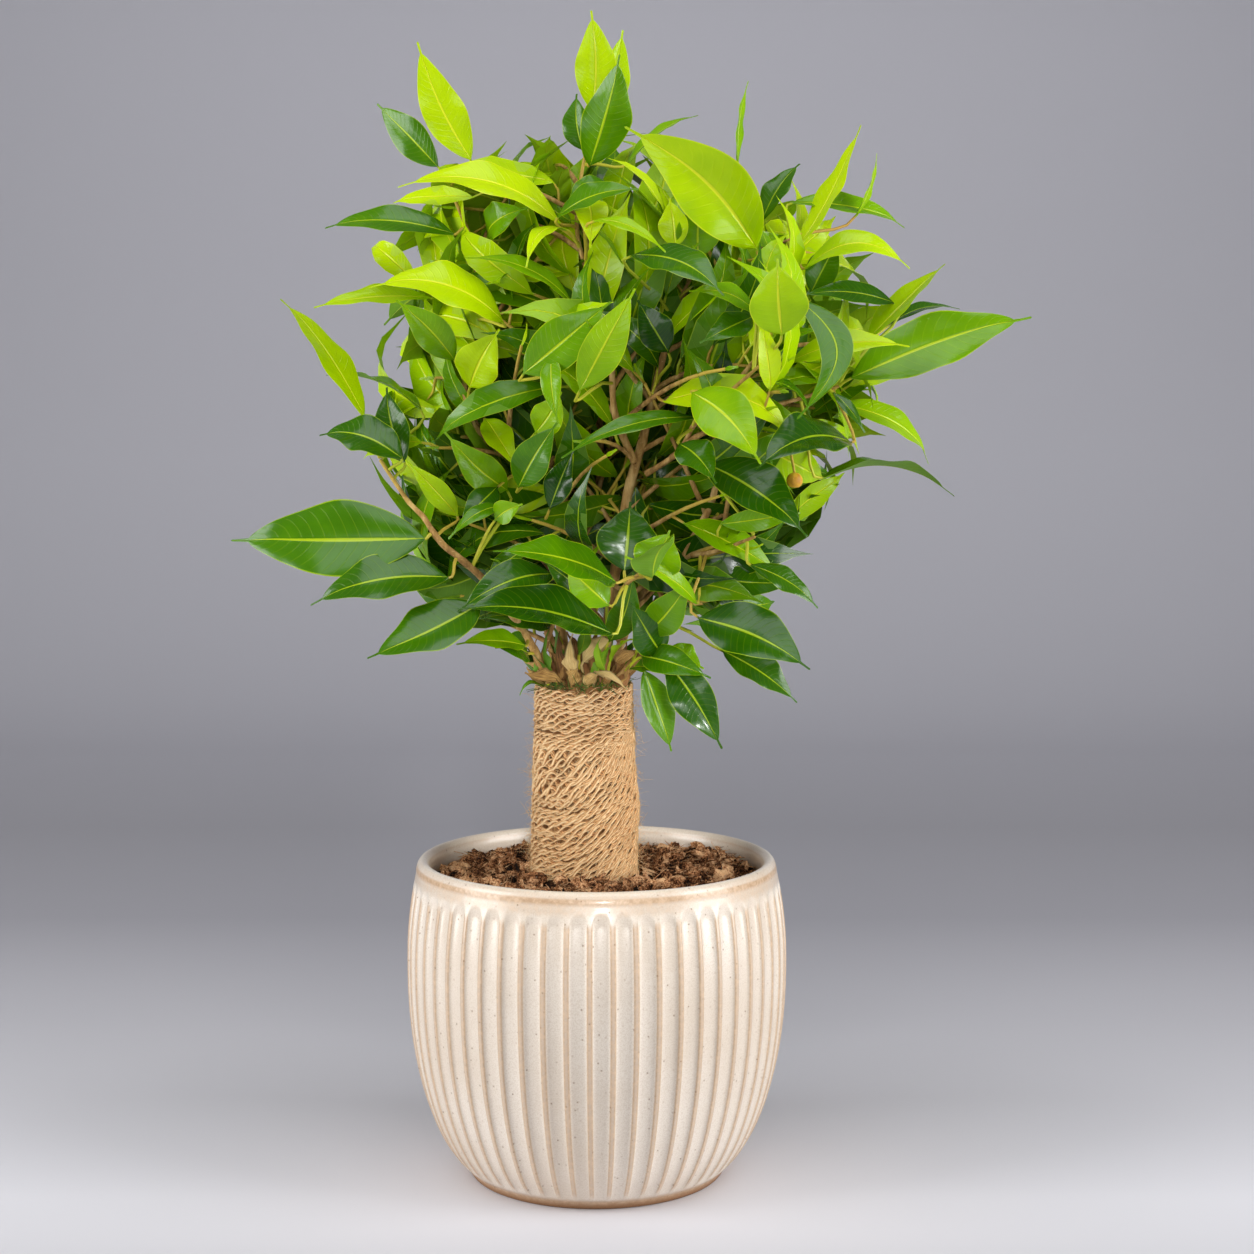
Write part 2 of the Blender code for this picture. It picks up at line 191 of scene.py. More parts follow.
def skins(rings, starts, ends):
    """Closed skins over rings: points, quads and triangles. rings has the shape (skins, rings, sides, 3), each
    ring runs left round its own direction of travel, and each skin closes in one point at either end."""
    count, rows, sides = rings.shape[:3]
    size = rows * sides + 2
    points = np.concatenate([rings.reshape(count, -1, 3), starts[:, None], ends[:, None]], axis=1)
    base = (np.arange(count) * size)[:, None, None]
    row = (np.arange(rows - 1) * sides)[None, :, None]
    j = np.arange(sides)
    k = (j + 1) % sides
    quads = np.stack([base + row + j, base + row + k, base + row + sides + k, base + row + sides + j], axis=-1)
    base = base[:, 0]
    top = base + (rows - 1) * sides
    first, last = base + size - 2 + 0 * j, base + size - 1 + 0 * j
    closing = np.stack([
        np.stack([first, base + k, base + j], axis=-1),
        np.stack([last, top + j, top + k], axis=-1),
    ], axis=1)
    return points.reshape(-1, 3), quads, closing


def joined(parts):
    """Several (points, quads, triangles) as one."""
    shift = np.cumsum([0] + [len(points) for points, *_ in parts])
    points = np.concatenate([points for points, *_ in parts])
    quads = np.concatenate([(quads + s).reshape(-1, 4) for (_, quads, _), s in zip(parts, shift)])
    threes = np.concatenate([(threes + s).reshape(-1, 3) for (_, _, threes), s in zip(parts, shift)])
    return points, quads, threes


def tube(line, radii, sides, swell=0.0):
    """A closed round tube along a line: rings square to it, and a blunt point at each end. swell adds to the
    radius, for each ring and side."""
    line = np.asarray(line, float)
    radii = np.broadcast_to(np.asarray(radii, float), len(line))
    ahead = unit(np.gradient(line, axis=0))
    side = unit(np.cross(ahead, (0.31, 1, 0.23)))
    rings = rings_round(line, radii[:, None] + swell, sides, side, np.cross(ahead, side))
    start = line[0] - ahead[0] * radii[0] * 0.5
    end = line[-1] + ahead[-1] * radii[-1]
    return skins(rings[None], start[None], end[None])


# ---------------------------------------------------------------- finishes


class Field:
    """What one socket gives over a surface. Python's operators add its Math nodes."""

    def __init__(self, finish, socket):
        self.finish, self.socket = finish, socket

    def math(self, operation, *values):
        return self.finish.node("ShaderNodeMath", {"operation": operation}, values)

    def __add__(self, other):
        return self.math("ADD", self, other)

    def __sub__(self, other):
        return self.math("SUBTRACT", self, other)

    def __rsub__(self, other):
        return self.math("SUBTRACT", other, self)

    def __mul__(self, other):
        return self.math("MULTIPLY", self, other)

    def __truediv__(self, other):
        return self.math("DIVIDE", self, other)

    def __pow__(self, other):
        return self.math("POWER", self, other)

    def __abs__(self):
        return self.math("ABSOLUTE", self)

    __radd__, __rmul__ = __add__, __mul__

    def ease(self, low, high):
        """0 below low, 1 above high, and a smooth step between them."""
        sockets = {"Value": self, "From Min": low, "From Max": high}
        return self.finish.node("ShaderNodeMapRange", {"interpolation_type": "SMOOTHSTEP"}, sockets)


class Finish:
    """One material. Fixed numbers go on its shader, and fields are nodes that vary over the surface."""

    def __init__(self, name, **fixed):
        self.material = bpy.data.materials.new(name)
        self.material.use_nodes = True
        self.tree = self.material.node_tree
        self.shader = self.tree.nodes["Principled BSDF"]
        self.where = self.node("ShaderNodeTexCoord", output="Object")
        for key, value in fixed.items():
            self.shader.inputs[key.replace("_", " ")].default_value = value

    def node(self, kind, settings=(), sockets=(), output=0):
        """A node: first its settings, a ramp's stops among them, then its sockets by name or in order."""
        made = self.tree.nodes.new(kind)
        for key, value in dict(settings).items():
            if key == "stops":
                ramp = made.color_ramp.elements
                for number, (place, colour) in enumerate(value):
                    stop = ramp[number] if number < 2 else ramp.new(place)
                    stop.position, stop.color = place, (*colour, 1)
            else:
                setattr(made, key, value)
        for key, value in sockets.items() if isinstance(sockets, dict) else enumerate(sockets):
            if isinstance(value, Field):
                self.tree.links.new(value.socket, made.inputs[key])
            else:
                made.inputs[key].default_value = value
        return Field(self, made.outputs[output])

    def noise(self, scale, detail=3.0, roughness=0.5, at=None):
        """Noise around 0.5, that many lumps to a metre."""
        sockets = {"Vector": at or self.where, "Scale": scale, "Detail": detail, "Roughness": roughness}
        return self.node("ShaderNodeTexNoise", {}, sockets)

    def axes(self, place):
        """The first two coordinates of a place, each as a field."""
        split = self.node("ShaderNodeSeparateXYZ", {}, [place])
        return split, Field(self, split.socket.node.outputs[1])

    def attribute(self, name):
        """A number stored on the mesh."""
        return self.node("ShaderNodeAttribute", {"attribute_name": name}, output="Fac")

    def ramp(self, value, *stops):
        """A colour for each value, from stops of place and colour."""
        return self.node("ShaderNodeValToRGB", {"stops": stops}, [value])

    def mix(self, share, a, b, blend="MIX"):
        """Colour a turned into colour b by that share."""
        a, b = (c if isinstance(c, Field) else (*c, 1) for c in (a, b))
        return self.node("ShaderNodeMix", {"data_type": "RGBA", "blend_type": blend}, {0: share, 6: a, 7: b}, 2)

    def grain(self, frequency, at=None):
        """The object's coordinates, stretched by a number for each axis."""
        return self.node("ShaderNodeMapping", {}, {"Vector": at or self.where, "Scale": frequency})

    def wear(self, colour=None, roughness=None, height=None, depth=0.001, coat=None):
        """Feeds the shader: height is in units of depth, in metres."""
        if height is not None:
            sockets = {"Height": height, "Distance": depth, "Strength": 1.0}
            height = self.node("ShaderNodeBump", {}, sockets)
        fed = {"Base Color": colour, "Roughness": roughness, "Normal": height, "Coat Weight": coat}
        for key, value in fed.items():
            if value is not None:
                self.tree.links.new(value.socket, self.shader.inputs[key])
        return self


def leaf_finish():
    """A fig leaf: glossy green from dark old leaves to yellow-green young ones, where the foliage's tone also holds
    painted shade, a yellow midrib that narrows to the tip, fine veins that curve forward at the rim, a pale rim, and
    a duller, lighter underside."""
    leaf = Finish("fig_leaf", Specular_IOR_Level=0.26, Coat_Roughness=0.16)
    place = leaf.node("ShaderNodeUVMap", {"uv_map": "UVMap"})
    along, across = leaf.axes(place)
    tone, chance, under = (leaf.attribute(key) for key in ("tone", "chance", "under"))
    off = abs(across)  # 0 on the midrib, 1 on the rim
    mottle, fine = leaf.noise(70.0, 3.0), leaf.noise(1100.0, 2.0)
    slant = along * 17.0 - off * 0.9 - off * off * 1.2 + chance
    wave = abs(slant.math("FRACT", slant) - 0.5) * 2.0
    vein = wave.ease(0.80, 1.0) * off.ease(0.0, 0.08) * (1.0 - off.ease(0.80, 0.97))
    rib = (1.0 - (off / (0.066 - along * 0.030)).ease(0.55, 1.15)) * along.ease(-0.02, 0.02)
    rim = off.ease(0.950, 0.990)
    stalk = 1.0 - along.ease(-0.012, 0.0)
    green = leaf.ramp(
        tone + (mottle - 0.5) * 0.20 + along * 0.08 - off * 0.04,
        (0.0, (0.006, 0.044, 0.0)), (0.22, (0.021, 0.098, 0.0)), (0.42, (0.060, 0.195, 0.0)),
        (0.62, (0.165, 0.370, 0.0)), (0.80, (0.340, 0.575, 0.0)), (1.0, (0.530, 0.740, 0.0)),
    )
    light = leaf.ramp(tone, (0.0, (0.30, 0.46, 0.01)), (0.5, (0.50, 0.66, 0.01)), (1.0, (0.84, 0.88, 0.03)))
    green = leaf.mix(vein * 0.09, green, light)
    green = leaf.mix(rib * 0.9, green, light)
    green = leaf.mix(rim * 0.7, green, light)
    pale = leaf.mix(0.40, green, (0.24, 0.42, 0.05))
    green = leaf.mix(under * 0.7, green, pale)
    shoot = leaf.ramp(chance, (0.0, (0.42, 0.54, 0.02)), (0.6, (0.66, 0.60, 0.05)), (1.0, (0.56, 0.33, 0.06)))
    green = leaf.mix(stalk, green, shoot)
    height = vein * 0.16 + (1.0 - off.ease(0.0, 0.10)) * (under * 2.0 - 1.0) * 0.9 + wave * 0.05 + fine * 0.05
    coat = (1.0 - tone.ease(0.1, 0.8)) * (1.0 - under) * 0.45
    return leaf.wear(green, 0.17 + fine * 0.09 + under * 0.25 + stalk * 0.15, height, 0.0003, coat)


def bark_finish(name, dark, mid, pale, young=(0.60, 0.44, 0.05)):
    """Thin bark: streaks along the stem, crosswise pores, pale rubbed ridges, and yellow-green young wood."""
    bark = Finish(name, Specular_IOR_Level=0.3)
    streak = bark.noise(60.0, 4.0, 0.6, bark.grain((6.0, 6.0, 1.0)))
    patch = bark.noise(45.0, 3.0)
    pore = bark.noise(420.0, 2.0, 0.5, bark.grain((1.0, 1.0, 2.6)))
    colour = bark.ramp(streak * 0.6 + patch * 0.4, (0.34, dark), (0.50, mid), (0.66, pale))
    colour = bark.mix(pore.ease(0.62, 0.72) * 0.5, colour, pale)
    colour = bark.mix((bark.attribute("youth") + (patch - 0.5) * 0.8).ease(0.45, 1.0) * 0.85, colour, young)
    return bark.wear(colour, 0.62 + patch * 0.25, streak * 0.8 + pore * 0.4, 0.0006)


def glaze_finish():
    """Cream stoneware glaze that breaks to tan where it runs thin, on ridges, rim and foot: sandy grain, iron
    specks that sink into it, and a soft gloss."""
    glaze = Finish("cream_speckled_glaze", Coat_Roughness=0.16, Specular_IOR_Level=0.5)
    thin, bare = glaze.attribute("thin"), glaze.attribute("bare")
    cloud = glaze.noise(16.0, 3.0)
    sand = glaze.noise(1500.0, 2.0, 0.6)
    ragged = glaze.noise(420.0, 3.0, 0.6)
    sockets = {"Vector": glaze.where, "Scale": 250.0, "Randomness": 1.0}
    dot = glaze.node("ShaderNodeTexVoronoi", {"distance": "EUCLIDEAN"}, sockets, "Distance")
    pick = Field(glaze, dot.socket.node.outputs["Color"])
    pick = glaze.node("ShaderNodeSeparateColor", {}, [pick])
    speck = (1.0 - dot.ease(0.05, 0.12)) * pick.ease(0.44, 0.48)
    fleck = (1.0 - dot.ease(0.08, 0.22)) * pick.ease(0.1, 0.4) * 0.25
    cream = glaze.mix(cloud.ease(0.35, 0.65), (0.770, 0.667, 0.553), (0.850, 0.766, 0.667))
    cream = glaze.mix(sand.ease(0.40, 0.66) * 0.40, cream, (0.60, 0.48, 0.36))
    tan = glaze.mix(ragged.ease(0.3, 0.7), (0.47, 0.285, 0.150), (0.68, 0.480, 0.310))
    share = (thin * 1.08 + (ragged - 0.5) * 0.7).ease(0.18, 1.10)
    colour = glaze.mix(share * 0.92, cream, tan)
    colour = glaze.mix(fleck, colour, (0.40, 0.24, 0.13))
    colour = glaze.mix(speck * 0.62, colour, (0.30, 0.165, 0.085))
    clay = glaze.mix(sand, (0.20, 0.095, 0.040), (0.36, 0.19, 0.09))
    colour = glaze.mix(bare, colour, clay)
    height = cloud * 0.5 + sand * 0.10 + (1.0 - speck) * 0.5 - share * 0.12
    rough = 0.26 + share * 0.08 + sand * 0.08 + bare * 0.4
    return glaze.wear(colour, rough, height, 0.00045, (1.0 - bare) * 0.45)


def soil_finish():
    """Coarse peat: red-brown lumps and pale flecks, with painted shade that is near black in the hollows."""
    soil = Finish("peat_soil", Specular_IOR_Level=0.15)
    lump, fine, chance = soil.noise(160.0, 5.0, 0.65), soil.noise(900.0, 4.0, 0.7), soil.attribute("chance")
    # The colour holds painted shade: it darkens with the same noise as the bump and with the field that marks low
    # spots and deep crumbs. The rest is the peat's own red-brown.
    colour = soil.ramp(
        lump * 0.45 + fine * 1.00 + chance * 0.40 - 0.325,
        (0.46, (0.006, 0.003, 0.001)), (0.56, (0.110, 0.041, 0.016)), (0.67, (0.440, 0.190, 0.076)),
        (0.80, (0.760, 0.470, 0.250)),
    )
    fleck = soil.noise(520.0, 1.0).ease(0.735, 0.76)
    colour = soil.mix(fleck * 0.8, colour, (0.60, 0.46, 0.34))
    return soil.wear(colour, 0.80 + fine * 0.18, lump * 0.6 + fine * 0.6, 0.0016)


def jute_finish(name, dark, mid, pale):
    """Twisted jute: fibres running slantwise round the yarn. Painted shade darkens it in the twist, at the yarn's
    sides and where it dives under another, so it is pale on its crest."""
    sheen = dict(Sheen_Weight=0.8, Sheen_Roughness=0.5, Sheen_Tint=(1.0, 0.66, 0.34, 1.0))
    jute = Finish(name, Specular_IOR_Level=0.15, **sheen)
    place = jute.node("ShaderNodeUVMap", {"uv_map": "UVMap"})
    fibre = jute.noise(3.0, 4.0, 0.65, jute.grain((0.5, 9.0, 1.0), place))
    along, share_round = jute.axes(place)
    turns = along * 0.42 + share_round * 2.0
    ply = abs(turns.math("FRACT", turns) - 0.5) * 2.0
    patch = jute.noise(70.0, 3.0)
    round_it = share_round * TURN
    side = 0.5 - round_it.math("COSINE", round_it) * 0.5
    # The colour holds painted shade: darker in the twist's grooves, at the yarn's sides and under the crossing
    # yarns.
    colour = jute.ramp(
        fibre * 1.00 + patch * 0.30 + (1.0 - ply) * 0.12 - side.ease(0.08, 0.62) * 0.37
        - jute.attribute("buried").ease(0.45, 1.0) * 0.30 - 0.10,
        (0.12, dark), (0.38, mid), (0.54, pale),
    )
    return jute.wear(colour, 0.72 + fibre * 0.2, fibre * 0.8 - ply.ease(0.7, 1.0) * 0.7, 0.0005)


def dry_finish():
    """Dry bud scales and leaves: tan paper with darker veins and a brown rim."""
    dry = Finish("dry_leaf", Specular_IOR_Level=0.25)
    place = dry.node("ShaderNodeUVMap", {"uv_map": "UVMap"})
    off = abs(dry.axes(place)[1])
    lines = dry.noise(4.0, 3.0, 0.6, dry.grain((0.6, 7.0, 1.0), place))
    tone = dry.attribute("tone")
    colour = dry.ramp(
        tone * 0.75 + lines * 1.5 - 0.50, (0.16, (0.030, 0.012, 0.005)), (0.42, (0.250, 0.115, 0.032)),
        (0.66, (0.600, 0.355, 0.100)), (0.92, (0.830, 0.610, 0.260)),
    )
    colour = dry.mix(off.ease(0.72, 1.0) * 0.6, colour, (0.10, 0.045, 0.018))
    return dry.wear(colour, 0.55 + lines * 0.3, lines, 0.0005)


def moss_finish():
    """Moss and green fibre."""
    moss = Finish("moss", Specular_IOR_Level=0.2)
    colour = moss.ramp(
        moss.noise(260.0, 3.0) * 0.7 + moss.attribute("chance") * 0.3,
        (0.30, (0.030, 0.050, 0.012)), (0.55, (0.110, 0.190, 0.030)), (0.80, (0.320, 0.400, 0.110)),
    )
    return moss.wear(colour, 0.8 + moss.noise(300.0) * 0.1)


def fig_finish():
    """The skin of a small ripe fig: yellow turning to brown, finely pored."""
    skin = Finish("fig_skin", Specular_IOR_Level=0.5)
    patch, pore = skin.noise(170.0, 3.0), skin.noise(1400.0, 2.0)
    colour = skin.ramp(patch, (0.35, (0.52, 0.22, 0.012)), (0.52, (0.78, 0.42, 0.022)), (0.70, (0.84, 0.62, 0.050)))
    colour = skin.mix(pore.ease(0.62, 0.72) * 0.25, colour, (0.86, 0.70, 0.20))
    return skin.wear(colour, 0.36 + pore * 0.2, pore, 0.0002)


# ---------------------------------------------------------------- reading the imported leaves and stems


def rings_of(node, sides):
    """A packed stem's or leaf's rings in order: from one pointed end, each step along the edges reaches
    exactly one whole ring. Gives the first point, the rings and the last point."""
    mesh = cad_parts[node].data
    mesh.calc_loop_triangles()
    co = np.empty(3 * len(mesh.vertices), np.float32)
    mesh.vertices.foreach_get("co", co)
    faces = np.empty(3 * len(mesh.loop_triangles), np.int32)
    mesh.loop_triangles.foreach_get("vertices", faces)
    co = co.reshape(-1, 3).astype(float)
    _, first, index = np.unique(np.round(co, 5), axis=0, return_index=True, return_inverse=True)
    points, faces = co[first], index.reshape(-1)[faces].reshape(-1, 3)
    joins = np.zeros((len(points), len(points)), bool)
    joins[faces, np.roll(faces, 1, axis=1)] = True
    joins |= joins.T
    for start in np.flatnonzero(joins.sum(axis=0) == sides):
        level = np.full(len(points), -1)
        level[start] = 0
        while (level < 0).any():
            level[joins[level == level.max()].any(axis=0) & (level < 0)] = level.max() + 1
        counts = np.bincount(level)
        if counts[-1] == 1 and (counts[1:-1] == sides).all():
            order = np.argsort(level, kind="stable")
            return points[order[0]], points[order[1:-1]].reshape(-1, sides, 3), points[order[-1]]
    raise SystemExit(f"{node} isn't a run of rings")


def read_stem(node):
    """A packed stem's line from its foot, and its radius along it."""
    _, rings, _ = rings_of(node, 6)
    line = rings.mean(axis=1)
    radii = np.linalg.norm(rings - line[:, None], axis=2).mean(axis=1)
    if radii[0] < radii[-1]:
        line, radii = line[::-1], radii[::-1]
    return line, radii


def packed_share(s):
    """Half width along a packed blade over the widest."""
    return np.sin(np.pi * np.clip(s, 0, 1) ** 0.82) ** 0.85 * (1 - 0.55 * ease(0.72, 1.0, s))


def blade_share(s):
    """Half width along a blade over the widest: a full oval body, then a drip tip over the last eighth."""
    s = np.clip(s, 0, 1)
    q = s / 0.90
    body = np.sin(np.pi * np.minimum(q, 1) ** 0.92) ** 0.80 * (1 - 0.25 * ease(0.5, 1.0, q))
    return body + 0.16 * ease(0.6, 0.88, s) * np.sqrt(1 - s) + 0.02 * (1 - s)


def read_leaf(node):
    """A packed leaf's stalk start, blade foot, tip, upper side, width and arch."""
    first, rings, last = rings_of(node, 4)
    if np.ptp(rings[1], axis=0).max() > np.ptp(rings[-2], axis=0).max():
        first, rings, last = last, rings[::-1], first
    foot = rings[2].mean(axis=0)
    length = np.linalg.norm(last - foot)
    chord = (last - foot) / length
    apart = np.linalg.norm(rings[5][:, None] - rings[5][None], axis=2)
    pair = np.array(np.unravel_index(apart.argmax(), apart.shape))
    inner = np.setdiff1d(np.arange(4), pair)
    up = rings[5][pair].mean(axis=0) - rings[5][inner].mean(axis=0)
    up = unit(up - chord * (up @ chord))
    width = apart.max() / packed_share(0.36)
    s = 0.54  # the share of the blade at which its seventh ring lies
    rise = (rings[6].mean(axis=0) - foot) @ up - 0.08 * width * packed_share(s) / 2
    arch = rise / (4 * s * (1 - s) * length)
    return dict(start=first, foot=foot, tip=last, up=up, width=width, arch=arch)


# ---------------------------------------------------------------- leaves


def leaf_lines(g, s, t):
    """Each leaf's line along its stalk and then its midrib, the directions across and through the leaf at each of
    its points, and the points that close it at either end. g is what each leaf is.

    The stalk is a cubic from the stem that arrives in line with the blade. The midrib rises by
    4 s (1 - s) arch over the straight line from foot to tip, sways sideways by sin(pi s), and dips at the
    drip tip."""
    foot, tip, start = g["foot"], g["tip"], g["start"]
    length = np.linalg.norm(tip - foot, axis=2, keepdims=True)
    chord = (tip - foot) / length
    up = unit(g["up"] - chord * (g["up"] * chord).sum(axis=2, keepdims=True))
    across = np.cross(up, chord)
    middle = foot + chord * length * s + up * length * (
        4 * s * (1 - s) * g["arch"] - g["droop"] * ease(0.74, 1.0, s)
    ) + across * length * g["sway"] * np.sin(np.pi * s)
    arrive = unit(chord + 4 * g["arch"] * up + np.pi * g["sway"] * across)
    reach = np.linalg.norm(foot - start, axis=2, keepdims=True)
    leave = unit(foot - start + np.array((0, 0, 0.25)) * reach)
    bend_a, bend_b = start + leave * reach * 0.4, foot - arrive * reach * 0.35
    stalk = (1 - t)**3 * start + 3 * t * (1 - t)**2 * bend_a + 3 * t**2 * (1 - t) * bend_b + t**3 * foot
    line = np.concatenate([stalk, middle], axis=1)
    ahead = unit(np.gradient(line, axis=1))
    flat = unit(across - ahead * (across * ahead).sum(axis=2, keepdims=True) + 1e-4 * up)
    upright = np.cross(ahead, flat)
    spin = g["twist"] * np.concatenate([0 * t - 0.3, s - 0.3], axis=1)
    side, other = np.cos(spin) * flat + np.sin(spin) * upright, np.cos(spin) * upright - np.sin(spin) * flat
    starts = start[:, 0] - ahead[:, 0] * 0.0004
    ends = (tip - up * (length * g["droop"]))[:, 0]
    return line, side, other, starts, ends


def leaf_sections(g, s, t, sides):
    """How far the points of each ring of a leaf lie across and through it. A point at angle p lies cos p across
    and sin p through the blade: the blade is folded up by its distance from the midrib, curled back by the
    square of it, and wavy at the rim."""
    p = angles(sides)[None, None]
    a = np.cos(p)
    stalk = 0.00090 - 0.00022 * t + 0 * g["width"]
    blade_thick = 0.0006 - 0.00038 * ease(0.0, 0.12, s) - 0.00014 * s + 0 * g["width"]
    radius = np.concatenate([stalk, np.maximum(blade_share(s) * g["width"] / 2, 0.0006)], axis=1)
    body = np.concatenate([stalk, blade_thick], axis=1)
    leafy = np.concatenate([0 * t, ease(0.0, 0.06, s)], axis=1)
    s = np.concatenate([0 * t, s], axis=1)
    waves = TURN * (s * 2.6 + g["chance"] * 3) + np.where(a > 0, 0.0, 2.1)
    ripple = g["wave"] * a**2 * np.sin(waves) * np.sin(np.pi * s)
    lift = leafy * radius * (g["fold"] * abs(a) - g["curl"] * a**2 + ripple)
    ridge = leafy * 0.0005 * (np.sin(p) < -0.9) * (1 - s)
    return radius * a, body * np.sin(p) + lift - ridge


def leaf_skins(leaves, along, stalk_rows, sides):
    """Leaves as one shape, each a closed skin of stalk and blade, from equal-length arrays of what each leaf is.
    Gives the shape, its UVs (share along, then -1 to 1 across) and the numbers that its finish reads."""
    n = len(leaves["width"])
    g = {key: np.asarray(value, float).reshape(n, 1, -1) for key, value in leaves.items()}
    s = np.asarray(along)[None, :, None]
    t = np.linspace(0, 1, stalk_rows, endpoint=False)[None, :, None]
    line, side, other, starts, ends = leaf_lines(g, s, t)
    off, out = leaf_sections(g, s, t, sides)
    rings = line[:, :, None] + side[:, :, None] * off[..., None] + other[:, :, None] * out[..., None]
    down = np.concatenate([np.linspace(-0.5, -0.03, stalk_rows), along])
    uv = np.empty((n, len(down) * sides + 2, 2))
    uv[:, :-2, 0] = np.repeat(down, sides)
    uv[:, :-2, 1] = np.tile(np.cos(angles(sides)), len(down))
    uv[:, -2:] = ((-0.5, 0), (1, 0))
    is_under = np.sin(angles(sides) + np.pi / sides) < 0
    under = np.tile(is_under, n * (len(down) + 1)).astype(float)
    walls = (len(down) - 1) * sides  # the quads of one leaf, before its closing triangles
    fields = {
        key: np.repeat(np.tile(leaves[key], 2), np.repeat((walls, 2 * sides), n)) for key in ("tone", "chance")
    }
    return skins(rings, starts, ends), uv.reshape(-1, 2), dict(fields, under=under)


# Where a blade's rings lie along it, in leaves that are seen one by one and in those of the foliage.
FINE = np.concatenate([np.linspace(0, 0.84, 21), [0.86, 0.88, 0.90, 0.925, 0.95, 0.975, 0.99]])
PLAIN = np.array([0.0, 0.06, 0.17, 0.33, 0.51, 0.67, 0.79, 0.88, 0.95])
LEAF_CREASE = 60  # degrees, over which a leaf's edge stays sharp


def leaf_piece(name, leaves, finish, stands_for=(), fine=True):
    """A piece of one or more leaves."""
    along, stalk_rows, sides = (FINE, 5, 16) if fine else (PLAIN, 2, 4)
    shape, uv, fields = leaf_skins(leaves, along, stalk_rows, sides)
    piece(name, shape, finish, "leaf", stands_for, uv, LEAF_CREASE, **fields)


# What each packed leaf is like, in order: how young it is (0 is old and dark, 1 is young and bright), and how
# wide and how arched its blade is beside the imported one.
HABITS = {
    "left": ((0.38, 1.10, 0.35), (0.28, 0.92, 0.75), (0.32, 0.95, 0.15), (0.26, 0.95, 0.80), (0.88, 0.80, 0.60),
             (0.52, 0.90, 1.0)),
    "upper_left": ((0.92, 0.92, 0.90), (0.40, 0.72, 1.0), (0.98, 0.76, 1.0), (0.42, 0.66, 0.5), (0.92, 0.74, -0.3)),
    "top": ((0.92, 0.84, 0.0), (0.46, 1.12, 0.5), (0.86, 0.88, 0.35), (0.66, 0.50, -0.3), (0.96, 0.80, -0.6),
            (0.60, 0.62, 0.6), (0.88, 0.66, 1.15)),
    "right": ((0.84, 0.80, 0.25), (0.56, 0.80, 0.0), (0.40, 0.58, 0.15), (0.50, 1.0, 1.0), (0.72, 0.68, 0.6),
              (0.16, 0.95, 0.9), (0.20, 0.92, 0.5), (0.30, 0.60, 0.6), (0.20, 0.90, 0.25), (0.26, 0.75, 0.5),
              (0.20, 0.84, 0.5), (0.46, 0.80, 0.8)),
    "front": ((0.14, 0.88, 0.4), (0.42, 0.84, 0.5), (0.52, 0.9, 0.8), (0.66, 0.82, 0.5), (0.54, 0.80, 0.4),
              (0.70, 0.84, 0.6), (0.30, 0.86, 0.5), (0.80, 1.0, 1.0)),
    "back": ((0.55, 0.8, 1.0), (0.35, 0.8, 1.0), (0.60, 0.8, 1.0), (0.35, 0.8, 1.0)),
}
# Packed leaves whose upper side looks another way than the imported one's.
FACING = {
    "leaf_left_1": (0.0, -0.9, 0.5), "leaf_upper_left_5": (0.25, -1.0, 0.0), "leaf_top_3": (-0.25, -1.0, 0.05),
    "leaf_right_2": (0.1, -0.85, 0.5), "leaf_right_3": (-0.15, -1.0, 0.1), "leaf_right_9": (0.1, -0.85, 0.5),
    "leaf_right_11": (-0.2, -1.0, 0.1), "leaf_front_4": (-0.1, -1.0, 0.3), "leaf_front_5": (0.2, -1.0, 0.3),
    "leaf_front_6": (0.3, -1.0, 0.1),
}
# How far a blade swings sideways off its chord, as a share of its length.
SWAY = {
    "leaf_right_3": 0.29, "leaf_top_3": -0.08, "leaf_front_7": 0.07, "leaf_front_4": 0.06, "leaf_right_2": 0.03,
}
# How far a blade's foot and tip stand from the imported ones, in millimetres.
NUDGE = {
    "leaf_top_2": ((-8, 2, -6), (-3, 2, 0)), "leaf_top_5": ((2, 0, -14), (0, 0, 0)),
    "leaf_right_7": ((-8, 0, 2), (0, 0, 0)), "leaf_upper_left_5": ((4, 0, 0), (2, 0, 0)),
}


def stack(rows):
    """A list of leaves as one set of arrays."""
    return {key: np.array([row[key] for row in rows]) for key in rows[0]}


def with_habit(leaf, tone, dice):
    """A leaf with its colour and the small ways in which it differs from the others, unless it has its own."""
    habit = dict(
        tone=tone, chance=dice.random(), droop=dice.uniform(0.0, 0.035), sway=dice.uniform(-0.05, 0.05),
        twist=dice.uniform(-0.25, 0.25), fold=dice.uniform(0.26, 0.44), curl=dice.uniform(0.08, 0.20),
        wave=dice.uniform(0.05, 0.13),
    )
    return {**habit, **leaf}


